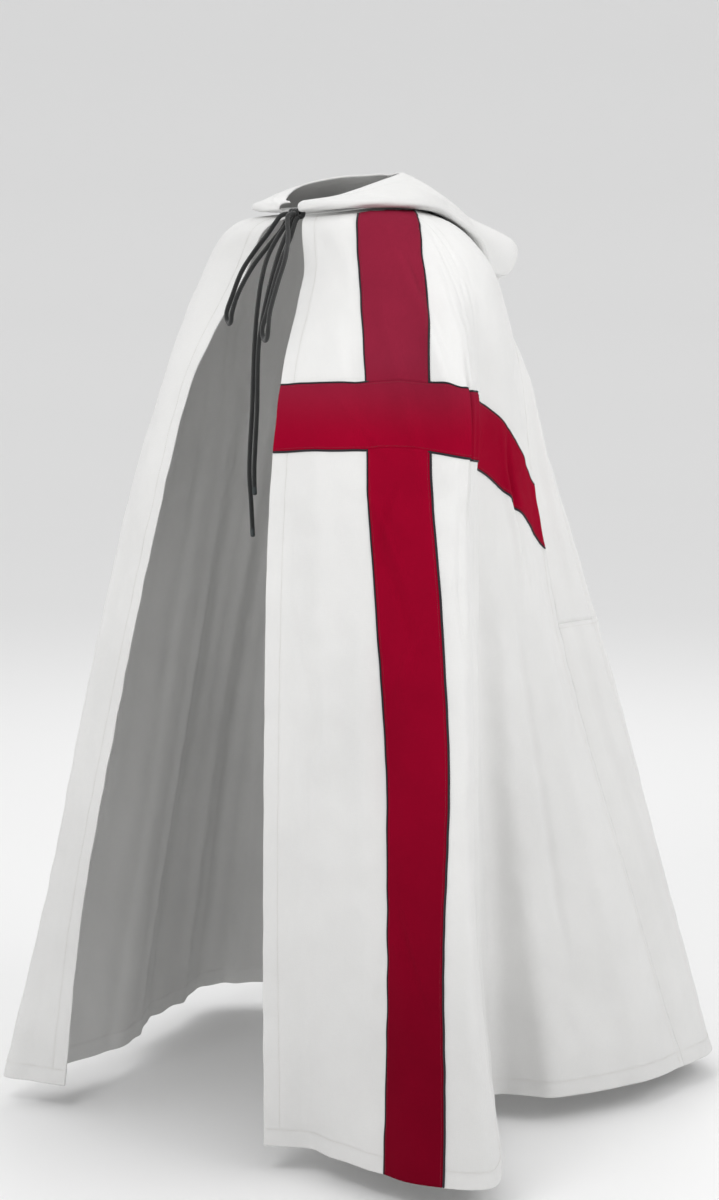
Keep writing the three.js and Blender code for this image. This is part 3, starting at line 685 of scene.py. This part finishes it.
def directions(line):
    """Directions across a line that turn as little as they can."""
    tangent = unit_rows(np.gradient(line, axis=0))
    side = np.cross(tangent[0], [0.0, 0.0, 1.0])
    if np.linalg.norm(side) < 0.1:
        side = np.cross(tangent[0], [1.0, 0.0, 0.0])
    sides = []
    for t in tangent:
        side = unit_rows(side - t * np.dot(side, t))
        sides.append(side)
    return np.array(sides), np.cross(tangent, sides)


BRAID_STRANDS = 4
BRAID_PITCH = 13.0
BRAID_SIDES = 28
BRAID_RELIEF = 0.1  # how deep the dips between strands are, as a part of the radius
TIP_LENGTH = 13.0  # the sealed sleeve at a cord's loose end
TIP_SIZE = 0.97  # the sleeve's radius, as a part of the cord's
TIP_ROUND, TIP_CURVE = 1.6, 1.75  # length of the sleeve's rounded end, and the depth of its full curve
RIDGE_SIZE = 1.02  # how far the strands stand out, as a part of the cord's radius


def braided(name, line, at, radius, loose_end=False):
    """A round braid: two sets of strands wound against each other over a full core."""
    side, up = directions(line)
    turn = np.linspace(0, 2 * math.pi, BRAID_SIDES, endpoint=False)
    wind = 2 * math.pi * at[:, None] / BRAID_PITCH
    over = np.maximum(np.cos(BRAID_STRANDS * (turn + wind)), np.cos(BRAID_STRANDS * (turn - wind)))
    size = radius * (1 - BRAID_RELIEF + BRAID_RELIEF * over)
    if loose_end:
        to_end = (at[-1] - at)[:, None]
        sleeve = 1 - soft_step(to_end, TIP_LENGTH - 0.6, TIP_LENGTH + 0.6)
        size = mix(size, radius * TIP_SIZE, sleeve)
        size = size * np.sqrt(1 - (np.clip(TIP_ROUND - to_end, 0, TIP_ROUND) / TIP_CURVE) ** 2)
    side_part, up_part = (size * np.cos(turn))[..., None], (size * np.sin(turn))[..., None]
    ring = line[:, None] + side[:, None] * side_part + up[:, None] * up_part
    index = np.arange(len(line) * BRAID_SIDES).reshape(-1, BRAID_SIDES)
    following = np.roll(index, -1, axis=1)
    first, last = index.size, index.size + 1
    faces = quads(index[:-1], following[:-1], following[1:], index[1:])
    faces += [[first, following[0, k], index[0, k]] for k in range(BRAID_SIDES)]
    faces += [[last, index[-1, k], following[-1, k]] for k in range(BRAID_SIDES)]
    uv = np.stack(np.broadcast_arrays(turn * radius, at[:, None]), -1).reshape(-1, 2)
    verts = np.concatenate([ring.reshape(-1, 3), line[:1], line[-1:]])
    piece = add_object(name, verts, faces, np.concatenate([uv, [[0, 0], [0, at[-1]]]]), BRAID)
    if loose_end:
        piece.data.materials.append(TIP)
        sleeve_start = np.searchsorted(at, at[-1] - TIP_LENGTH) * BRAID_SIDES
        for polygon in piece.data.polygons:
            polygon.material_index = int(min(polygon.vertices) >= sleeve_start)
    return piece


cords, cord_lines = {}, {}
for name, route in CORD_ROUTES.items():
    line, at = along_route(route)
    is_end = name.startswith("tie_end")
    cords[name] = braided(name + "_braid", line, at, CORD / 2 * RIDGE_SIZE, is_end)
    cord_lines[name] = (line, float(at[-1]))

# The bow's knot: turns of cord drawn side by side round a core.
KNOT_TURNS, KNOT_STEPS = 3.2, 260
knot_part = np.linspace(0, 1, KNOT_STEPS)
knot_spin = 2 * math.pi * KNOT_TURNS * knot_part
coil_reach = KNOT_REACH - CORD / 2 - 0.4
coil_x = (knot_part - 0.5) * (KNOT_LENGTH - CORD)
coil_y = KNOT_Y + coil_reach * np.cos(knot_spin)
coil = np.stack([coil_x, coil_y, KNOT_Z + coil_reach * np.sin(knot_spin)], -1)
knot = braided("knot_turns", coil, run_lengths(coil), CORD / 2)


# ---- Ripples and the creased surface ----
# spacing across the cloth, spacing down it, height, lean
RIPPLES = [(23.0, 210.0, 0.35, 0.4), (41.0, 330.0, 0.55, 1.9), (67.0, 260.0, 0.7, 3.3)]
# direction, spacing, height, start
CRUMPLES = [
    (turn, RNG.uniform(7.0, 15.0), RNG.uniform(0.1, 0.24), RNG.uniform(0, 6.28))
    for turn in np.linspace(0.1, math.pi - 0.2, 11)
]
SHARE_STEP, DOWN_STEP = 0.0015, 2.5  # to each side, for the slope of the smooth cape
CLOTH_ROUND = 2400.0  # about the length of cloth round the cape, for the ripples
RIPPLE_FULL, CRUMPLE_FULL = 900.0, 60.0  # how far down the cloth they reach their full height


def ripple(across, down):
    """Small uneven swells and crumples of hanging cloth, in millimetres."""
    total = np.zeros(np.shape(across))
    for width, run, size, lean in RIPPLES:
        total += size * np.sin(across / width + 1.7 * np.sin(down / run + lean) + lean * 3.1)
    total *= mix(0.08, 1, np.clip(down / RIPPLE_FULL, 0, 1))
    for turn, length, size, start in CRUMPLES:
        along = across * math.cos(turn) + down * math.sin(turn)
        aside = down * math.cos(turn) - across * math.sin(turn)
        total += size * np.sin(along / length + start + 1.3 * np.sin(aside / (2.7 * length) + 2 * start))
    return total * np.clip(down / CRUMPLE_FULL, 0, 1)


def base_normals(share, down):
    """Outward normals of the smooth cape, and millimetres of cloth per share."""
    low, high = (np.clip(share + step, 0, 1) for step in (-SHARE_STEP, SHARE_STEP))
    up, under = (np.clip(down + step, 0, LENGTH) for step in (-DOWN_STEP, DOWN_STEP))
    across = cape_points(high, down) - cape_points(low, down)
    along = cape_points(share, under) - cape_points(share, up)
    return unit_rows(np.cross(across, along)), np.linalg.norm(across, axis=-1) / (high - low)


def surface(share, down):
    """The creased cape at matching arrays: its points and outward normals."""
    share, down = floats(share, down)
    normal, scale = base_normals(share, down)
    lift = relief(share, down, scale) + ripple(share * CLOTH_ROUND, down)
    return cape_points(share, down) + normal * lift[..., None], normal


UPRIGHT_DOWNS = [down for down, _ in UPRIGHT]
UPRIGHT_SHARES = np.array([[share] for _, share in UPRIGHT])
BAR_SHARES = [share_of(name) for name, _ in BAR]
BAR_DOWNS = np.array([[down] for _, down in BAR], float)
GUIDE_DOWN = float(BAR[4][1])  # where the upright meets the bar


def upright_share(down):
    return smooth(UPRIGHT_DOWNS, UPRIGHT_SHARES, np.atleast_1d(down))[:, 0]


def bar_down(share):
    share = np.asarray(share, float)
    return smooth(BAR_SHARES, BAR_DOWNS, share.ravel())[:, 0].reshape(share.shape)


# ---- The panels ----
ROW_STEP = 7.4
SINK, SINK_RUN = 0.8, 2.0  # the cloth lies this much lower under the cross, and comes up over this width
HEM_FOLD = 1.1  # a hem's extra wall
STITCH_IN = 3.0  # stitches run this far inside the fold of a hem
# Height and half width of the dips and puckers along stitches and seams.
STITCH_DIP, STITCH_PUCKER = (0.35, 1.6), (0.25, 9.0)
SEAM_DIP, SEAM_PUCKER = (0.8, 2.2), (0.3, 12.0)
RIGHT_SEAM, LEFT_SEAM = share_of("right_seam"), share_of("left_seam")
BACK_SEAM_DOWN = 706.0


def under_cross(share, across, down):
    """1 under the cross and its edging, 0 beside them."""
    middles = upright_share(down[:, 0])
    middle = [[np.interp(middles[i], share[i], across[i])] for i in range(len(down))]
    reach = BAND / 2 + EDGING
    upright = (reach - np.abs(across - np.array(middle))) / SINK_RUN * (down > UPRIGHT_TOP)
    bar = (reach - np.abs(down - bar_down(share))) / SINK_RUN
    return np.clip(np.maximum(upright, bar), 0, 1)


def pull_edges(rows, seams):
    """Draws a grid's seam edges in, so that two sewn pieces stand apart."""
    edges = {
        "start": (rows[:, 0], rows[:, 1]), "end": (rows[:, -1], rows[:, -2]),
        "top": (rows[0], rows[1]), "bottom": (rows[-1], rows[-2]),
    }
    for edge in seams:
        line, within = edges[edge]
        line += unit_rows(within - line) * SEAM_GAP


def swell(distance, size):
    """A rounded ridge at a distance from its line; size is its height and half width."""
    height, half_width = size
    return height * bell(distance, half_width)


def cloth_piece(name, points, normal, outer, inner, seams, uv, material):
    """A shell whose faces stand the given lifts off a surface."""
    faces = [points + normal * lift[..., None] for lift in (outer, inner)]
    for rows in faces:
        pull_edges(rows, seams)
    return shell(name, *faces, uv, material)


def panel(name, share_a, share_b, down_a, down_b, steps_across, hems, seams):
    """One panel's shell. hems and seams name its edges: start, end, top, bottom."""
    downs = np.linspace(down_a, down_b, int((down_b - down_a) / ROW_STEP))
    if "bottom" in hems:
        near = down_b - NEAR_EDGE[::-1]
        downs = np.concatenate([np.arange(down_a, near[0] - 3, ROW_STEP), near])
    share, across, down = cloth_grid(share_a, share_b, downs, steps_across)
    points, normal = surface(share, down)
    from_edge = {
        "start": across, "end": across[:, -1:] - across, "top": down - down_a, "bottom": down_b - down,
    }
    outer = np.zeros(share.shape)
    inner = np.full(share.shape, -CLOTH)
    if name == "front_left":
        outer -= SINK * under_cross(share, across, down)
    pucker = np.sin(down / 5.3 + 2.1 * np.sin(down / 47.0)) * np.sin(across / 6.1 + 1.3)
    for edge in hems:
        from_stitch = from_edge[edge] - HEM + STITCH_IN
        inner -= HEM_FOLD * (1 - soft_step(from_edge[edge], HEM - 2, HEM + 1))
        outer += pucker * swell(from_stitch, STITCH_PUCKER) - swell(from_stitch, STITCH_DIP)
    for edge in seams:
        outer += pucker * swell(from_edge[edge], SEAM_PUCKER) - swell(from_edge[edge], SEAM_DIP)
    uv = np.stack([across - across[:, -1:] / 2, down], -1)
    return cloth_piece(name, points, normal, outer, inner, seams, uv, COTTON)


PANELS = [
    ("front_right", 0, RIGHT_SEAM, 0, LENGTH, 180, ("start", "bottom"), ("end",)),
    ("back_upper", RIGHT_SEAM, LEFT_SEAM, 0, BACK_SEAM_DOWN, 130, (), ("start", "end", "bottom")),
    ("back_lower", RIGHT_SEAM, LEFT_SEAM, BACK_SEAM_DOWN, LENGTH, 180, ("bottom",), ("start", "end", "top")),
    ("front_left", LEFT_SEAM, 1, 0, LENGTH, 215, ("end", "bottom"), ("start",)),
]
panels = {row[0]: panel(*row) for row in PANELS}


# ---- The cross ----
HALF = BAND / 2
RISE = 0.5  # how far the cross's inner face stands off the sunk cloth under it
EDGE_GAP = 0.2  # between the red bands and their dark edging
CUT_EDGE = 0.55  # a strip's thickness along its cut edges, as a part of the whole
SEARCH = 0.3  # how far round the cape a width of cloth is looked for
BAR_START, BAR_STOP = LEFT_SEAM + 0.0006, 1 - 0.0004
UPRIGHT_STOP = LENGTH - 0.6


def beside(share, down, width):
    """The share a width of cloth away from another share, for each row."""
    share, down = np.broadcast_arrays(share, down)
    out = np.empty(share.shape)
    for i, (at, row) in enumerate(zip(share, down)):
        shares, lengths = row_table(max(at - SEARCH, 0), min(at + SEARCH, 1), row, 240)
        out[i] = np.interp(np.interp(at, shares, lengths) + width, lengths, shares)
    return out


def band_share(down, offset):
    """The share at a sideways offset from the upright's middle, for each row."""
    return beside(upright_share(down), down, offset)


def guide_share(offset):
    return band_share(np.array([GUIDE_DOWN]), offset)[0]


def applique(name, grid, material, thick=APPLIQUE, crown=0.0):
    """A strip on the left front, of a given thickness and with a rounded crown."""
    points, normal = surface(*grid)
    count = points.shape[1]
    edge = np.where(np.isin(np.arange(count), (0, count - 1)), CUT_EDGE, 1.0)
    bulge = crown * np.sin(np.linspace(0, math.pi, count))
    outer = points + normal * (RISE + thick * edge + bulge)[None, :, None]
    uv = np.stack([run_lengths(points, 1), run_lengths(points, 0)], -1)
    return shell(name, outer, points + normal * (RISE - SINK), uv, material)


def strip(offsets, top, bottom, count):
    """Shares and downs of a strip along the upright, whose ends follow the bar where a mark says so."""
    middles = bar_down([guide_share(offset) for offset in offsets])
    start, stop = (middles * (mark == "bar") + down for mark, down in (top, bottom))
    t = np.linspace(0, 1, count)[:, None]
    down = start * (1 - t) + stop * t
    return np.stack([band_share(down[:, k], offset) for k, offset in enumerate(offsets)], 1), down


def bar_strip(share_a, share_b, offsets, count):
    """Shares and downs of a strip along the bar."""
    fine = np.linspace(share_a, share_b, 2000)
    measure = np.cumsum(closeness(fine))
    row_shares = np.interp(np.linspace(measure[0], measure[-1], count), measure, fine)
    share = np.repeat(row_shares[:, None], len(offsets), 1)
    return share, bar_down(share) + offsets


band_offsets = np.concatenate(
    [[-HALF, -HALF + 1.2, -HALF + 3], np.linspace(-HALF + 6, HALF - 6, 27), [HALF - 3, HALF - 1.2, HALF]]
)
CROSS_GRIDS = {
    "cross_upright_upper": strip(band_offsets, ("flat", UPRIGHT_TOP), ("bar", -HALF - EDGE_GAP), 80),
    "cross_upright_lower": strip(band_offsets, ("bar", HALF + EDGE_GAP), ("flat", UPRIGHT_STOP), 210),
    "cross_bar": bar_strip(BAR_START, BAR_STOP, -band_offsets, 360),
}
cross = {name: applique(name, grid, RED) for name, grid in CROSS_GRIDS.items()}

edge_offsets = HALF + EDGE_GAP + np.linspace(0, EDGING, 5)
EDGING_GRIDS = {}
for tag, side in (("back", -1), ("front", 1)):
    offsets = np.sort(side * edge_offsets)
    EDGING_GRIDS["edging_upper_" + tag] = strip(offsets, ("flat", UPRIGHT_TOP), ("bar", -HALF), 70)
    EDGING_GRIDS["edging_lower_" + tag] = strip(offsets, ("bar", HALF), ("flat", UPRIGHT_STOP), 220)
for tag, ends in (("back", (BAR_START, guide_share(-HALF))), ("front", (guide_share(HALF), BAR_STOP))):
    EDGING_GRIDS["edging_bar_top_" + tag] = bar_strip(*ends, -edge_offsets, 280)
    EDGING_GRIDS["edging_bar_low_" + tag] = bar_strip(*ends, edge_offsets[::-1], 280)
edging = {name: applique(name, grid, DARK, APPLIQUE * 0.8, 0.5) for name, grid in EDGING_GRIDS.items()}


# ---- The hood ----
# (angle, station) path, half width and height in millimetres
HOOD_CREASES = [
    ([(196, 7.6), (205, 6.2), (222, 5.2), (240, 4.9)], 9, 2.6),
    ([(191, 7.2), (200, 5.8), (214, 4.9)], 10, -2.4),
    ([(232, 7.4), (226, 6.4), (214, 5.6), (203, 5.0)], 8, 2.0),
    ([(262, 7.0), (248, 6.0), (236, 5.3)], 9, -1.8),
    ([(292, 6.8), (276, 5.9), (262, 5.2)], 9, 1.4),
    ([(168, 7.5), (160, 6.3), (146, 5.3), (132, 4.9)], 9, 2.6),
    ([(172, 7.0), (166, 5.7), (154, 4.9)], 10, -2.4),
    ([(136, 7.4), (128, 6.3), (116, 5.4)], 9, 2.0),
    ([(100, 7.2), (88, 6.2), (76, 5.4)], 10, -1.8),
    ([(186, 2.0), (200, 2.4), (220, 2.8)], 14, 2.0),
    ([(174, 2.0), (160, 2.4), (142, 2.8)], 14, 2.0),
]
ANGLE_STEP, STATION_STEP = 0.35, 0.03
HOOD_HEM, HOOD_STITCH = 20.0, 18.0  # the rim's folded hem, and the stitches that hold it
HOOD_SEAM_DIP = (0.9, 2.2)  # height and half width
# Stations near the neck and the rim, and angles near an edge, where the grid is close.
NEAR_NECK, NEAR_RIM = [0, 0.03, 0.08, 0.15], [7.68, 7.8, 7.86, 7.9, 7.94, 7.97, LAST_STATION]
NEAR_SIDE = np.array([0, 0.25, 0.6, 1.1, 1.8])


def hood_relief(angle, station, scale):
    """How far the hood's creases and swells lift it. scale is millimetres per degree and per station."""
    lift = np.zeros(angle.shape)
    here = np.stack([angle, station], -1)
    for path, half_width, height in HOOD_CREASES:
        knots = np.array(path, float)
        nearest = np.full(angle.shape, 1e9)
        along = np.zeros(angle.shape)
        for k in range(len(knots) - 1):
            v = (knots[k + 1] - knots[k]) * scale
            w = (here - knots[k]) * scale
            t = np.clip((w * v).sum(-1) / np.maximum((v * v).sum(-1), 1e-6), 0, 1)
            gap = np.linalg.norm(w - v * t[..., None], axis=-1)
            along = np.where(gap < nearest, (k + t) / (len(knots) - 1), along)
            nearest = np.minimum(gap, nearest)
        fade = np.maximum(np.sin(np.clip(along, 0, 1) * math.pi), 0) ** 0.6
        lift += height * fade * bell(nearest, half_width)
    waves = np.sin(angle / 7.3 + 1.4 * np.sin(station * 1.7)) * np.sin(station * 1.9 + angle / 23.0)
    return lift + 0.8 * waves * np.sin(np.clip(station / LAST_STATION, 0, 1) * math.pi)


def hood_surface(angle, station):
    """The smooth hood's points, its outward normals, and how far its creases lift it."""
    def step(turn, out):
        angles = [np.clip(angle + side * turn, HOOD_FIRST, 360 - HOOD_FIRST) for side in (1, -1)]
        stations = [np.clip(station + side * out, 0, LAST_STATION) for side in (1, -1)]
        return hood_points(angles[0], stations[0]) - hood_points(angles[1], stations[1])

    step_round, step_out = step(ANGLE_STEP, 0), step(0, STATION_STEP)
    normal = unit_rows(np.cross(step_round, step_out))
    on_seam = np.abs(angle - 180) < 1e-6
    normal = unit_rows(np.where(on_seam[..., None], normal * np.array([0, 1, 1]), normal))
    size_round = np.linalg.norm(step_round, axis=-1) / (2 * ANGLE_STEP)
    size_out = np.linalg.norm(step_out, axis=-1) / (2 * STATION_STEP)
    lift = hood_relief(angle, station, np.stack([size_round, size_out], -1))
    return hood_points(angle, station), normal, lift * np.clip(np.abs(angle - 180) / 4, 0, 1)


def hood_half(name, angle_a, angle_b, centre):
    """One half of the hood; centre says which end is the centre seam."""
    stations = np.concatenate([NEAR_NECK, np.linspace(0.22, 7.55, 92), NEAR_RIM])
    between = np.linspace(angle_a + 2.6, angle_b - 2.6, 118)
    angles = np.concatenate([angle_a + NEAR_SIDE, between, (angle_b - NEAR_SIDE)[::-1]])
    base, normal, lift = hood_surface(*np.meshgrid(angles, stations))
    lengths, drops = run_lengths(base, 1), run_lengths(base, 0)
    to_rim = drops[-1:] - drops
    to_seam = lengths if centre == "start" else lengths[:, -1:] - lengths
    thick = CLOTH + 1 - soft_step(to_rim, HOOD_HEM - 1, HOOD_HEM + 1)
    dip = swell(to_rim - HOOD_STITCH, STITCH_DIP) + swell(to_seam, HOOD_SEAM_DIP)
    pucker = np.sin(lengths / 5.1) * swell(to_rim - HOOD_STITCH, STITCH_PUCKER)
    uv = np.stack([lengths, drops], -1)
    return cloth_piece(name, base, normal, lift - dip + pucker, lift - thick, (centre,), uv, SHADED_HOOD_COTTON)


hood = {
    "hood_right": hood_half("hood_right", HOOD_FIRST, 180.0, "end"),
    "hood_left": hood_half("hood_left", 180.0, 360.0 - HOOD_FIRST, "start"),
}


# ---- Stitches ----
STITCH_PITCH, STITCH_SIZE, THREAD_RADIUS = 3.0, 2.2, 0.32
STITCH_SEED = 3


def stitch_tree(name):
    """Short stitches set along a line of thread: pitch, stitch length and thread radius are its inputs."""
    tree = bpy.data.node_groups.new(name, "GeometryNodeTree")
    for label, kind in (
        ("Line", "Geometry"), ("Pitch", "Float"), ("Stitch Length", "Float"), ("Thread Radius", "Float"),
        ("Thread", "Material"), ("Seed", "Int"),
    ):
        tree.interface.new_socket(label, in_out="INPUT", socket_type="NodeSocket" + kind)
    tree.interface.new_socket("Stitches", in_out="OUTPUT", socket_type="NodeSocketGeometry")

    add = partial(add_node, tree)
    given = add("NodeGroupInput")
    radius = given["Thread Radius"]
    curve = add("GeometryNodeMeshToCurve", {"Mesh": given["Line"]})["Curve"]
    points = add("GeometryNodeCurveToPoints", {"Curve": curve, "Length": given["Pitch"]}, mode="LENGTH")
    half = add("ShaderNodeMath", {0: given["Stitch Length"], 1: 0.5}, operation="MULTIPLY")[0]
    size = add("ShaderNodeCombineXYZ", {"X": half, "Y": radius, "Z": radius})["Vector"]
    grain = add("GeometryNodeMeshIcoSphere", {"Subdivisions": 1, "Radius": 1.0})["Mesh"]
    turned = add("FunctionNodeAlignRotationToVector", {"Vector": points["Tangent"]}, axis="X")
    uneven = {2: 0.85, 3: 1.15, "Seed": given["Seed"]}
    placing = {
        "Points": points["Points"],
        "Instance": add("GeometryNodeTransform", {"Geometry": grain, "Scale": size})["Geometry"],
        "Rotation": turned["Rotation"],
        "Scale": add("FunctionNodeRandomValue", uneven, data_type="FLOAT")[1],
    }
    placed = add("GeometryNodeInstanceOnPoints", placing)["Instances"]
    real = add("GeometryNodeRealizeInstances", {"Geometry": placed})["Geometry"]
    made = add("GeometryNodeSetMaterial", {"Geometry": real, "Material": given["Thread"]})["Geometry"]
    add("NodeGroupOutput", {"Stitches": made})
    return tree


STITCH_TREE = stitch_tree("running_stitch")


def sew(name, lines, material):
    """Stitches along polylines given in millimetres, as one mesh."""
    edges, start = [], 0
    for line in lines:
        edges += [(start + k, start + k + 1) for k in range(len(line) - 1)]
        start += len(line)
    mesh = bpy.data.meshes.new(name + "_line")
    mesh.from_pydata([tuple(v) for v in np.concatenate(lines) * MM], edges, [])
    guide = in_scene(name + "_line", mesh)
    modifier = guide.modifiers.new("stitches", "NODES")
    modifier.node_group = STITCH_TREE
    values = {
        "Pitch": STITCH_PITCH * MM, "Stitch Length": STITCH_SIZE * MM, "Thread Radius": THREAD_RADIUS * MM,
        "Thread": material, "Seed": STITCH_SEED,
    }
    for item in STITCH_TREE.interface.items_tree:
        if item.name in values:
            modifier[item.identifier] = values[item.name]
    graph = bpy.context.evaluated_depsgraph_get()
    made = bpy.data.meshes.new_from_object(guide.evaluated_get(graph), depsgraph=graph)
    bpy.data.objects.remove(guide)
    made.polygons.foreach_set("use_smooth", [True] * len(made.polygons))
    return in_scene(name, made)


def on_cape(share, down, lift):
    """Points on the creased cape, a given lift off its face."""
    share, down = floats(share, down)
    points, normal = surface(share[:, None], down[:, None])
    return (points + normal * lift)[:, 0]


def along_edge(share, down, width, lift):
    """Points down the cape, a width of cloth beside an edge or a seam."""
    return on_cape(beside(share, down, width), down, lift)


def hood_line(angles, station, lift):
    """Points round the hood at one station, a given lift off its face."""
    angle = np.asarray(angles, float)[:, None]
    points, normal, up = hood_surface(angle, np.full(angle.shape, station))
    return (points + normal * (up + lift)[..., None])[:, 0]


hem_shares = np.linspace(0.0015, 0.9985, 900)
edge_rows = np.linspace(12, LENGTH - HEM, 400)
seam_rows = np.linspace(4, LENGTH - 3, 420)
back_shares = np.linspace(RIGHT_SEAM, LEFT_SEAM, 260)
bar_middle = bar_down(guide_share(-HALF))
upper_rows = np.linspace(UPRIGHT_TOP + 4, bar_middle - HALF, 160)
lower_rows = np.linspace(bar_middle + HALF + 1, LENGTH - 4, 400)
bar_shares = np.linspace(LEFT_SEAM + 0.004, 0.9965, 420)
rim_angles = np.linspace(14, 178, 300)
RIM_STATION = 7.62
# How far the stitches run from an edge, from a seam and from the middle of a band.
HEM_IN, SEAM_IN, BAND_IN = HEM - STITCH_IN, 7.0, HALF - 2.6
ON_CROSS = RISE + APPLIQUE + 0.05
STITCH_LINES = {
    "hem_stitches": ([on_cape(hem_shares, LENGTH - HEM_IN, 0.05)], THREAD),
    "front_edge_stitches": (
        [along_edge(0.0, edge_rows, HEM_IN, 0.05), along_edge(1.0, edge_rows, -HEM_IN, 0.05)], THREAD,
    ),
    "seam_stitches": (
        [
            along_edge(RIGHT_SEAM, seam_rows, -SEAM_IN, 0.1),
            along_edge(LEFT_SEAM, seam_rows, SEAM_IN, 0.1),
            on_cape(back_shares, BACK_SEAM_DOWN + SEAM_IN, 0.1),
        ],
        THREAD,
    ),
    "cross_stitches": (
        [
            on_cape(band_share(rows, side), rows, ON_CROSS)
            for rows in (upper_rows, lower_rows) for side in (-BAND_IN, BAND_IN)
        ]
        + [on_cape(bar_shares, bar_down(bar_shares) + side, ON_CROSS) for side in (-BAND_IN, BAND_IN)],
        RED_THREAD,
    ),
    "hood_stitches": (
        [hood_line(rim_angles, RIM_STATION, -0.1), hood_line(360 - rim_angles, RIM_STATION, -0.1)], THREAD,
    ),
}
stitch_pieces = {name: sew(name, lines, thread) for name, (lines, thread) in STITCH_LINES.items()}


# ---- What each piece stands for ----
for name, piece in {**panels, **cross, **hood, **edging}.items():
    piece.name = name + "_cloth"
    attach(piece, "root")
    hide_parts(name)
for name, piece in stitch_pieces.items():
    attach(piece, "root")
for name, piece in cords.items():
    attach(piece, "root")
    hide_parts(name)
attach(knot, "root")
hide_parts("tie_knot")

# ---- The cord's parts: two loops of the bow and two loose ends ----
for name, far_end in (
    ("tie_loop_right", "object"), ("tie_loop_left", "object"),
    ("tie_end_right", "bare"), ("tie_end_left", "bare"),
):
    line, length = cord_lines[name]
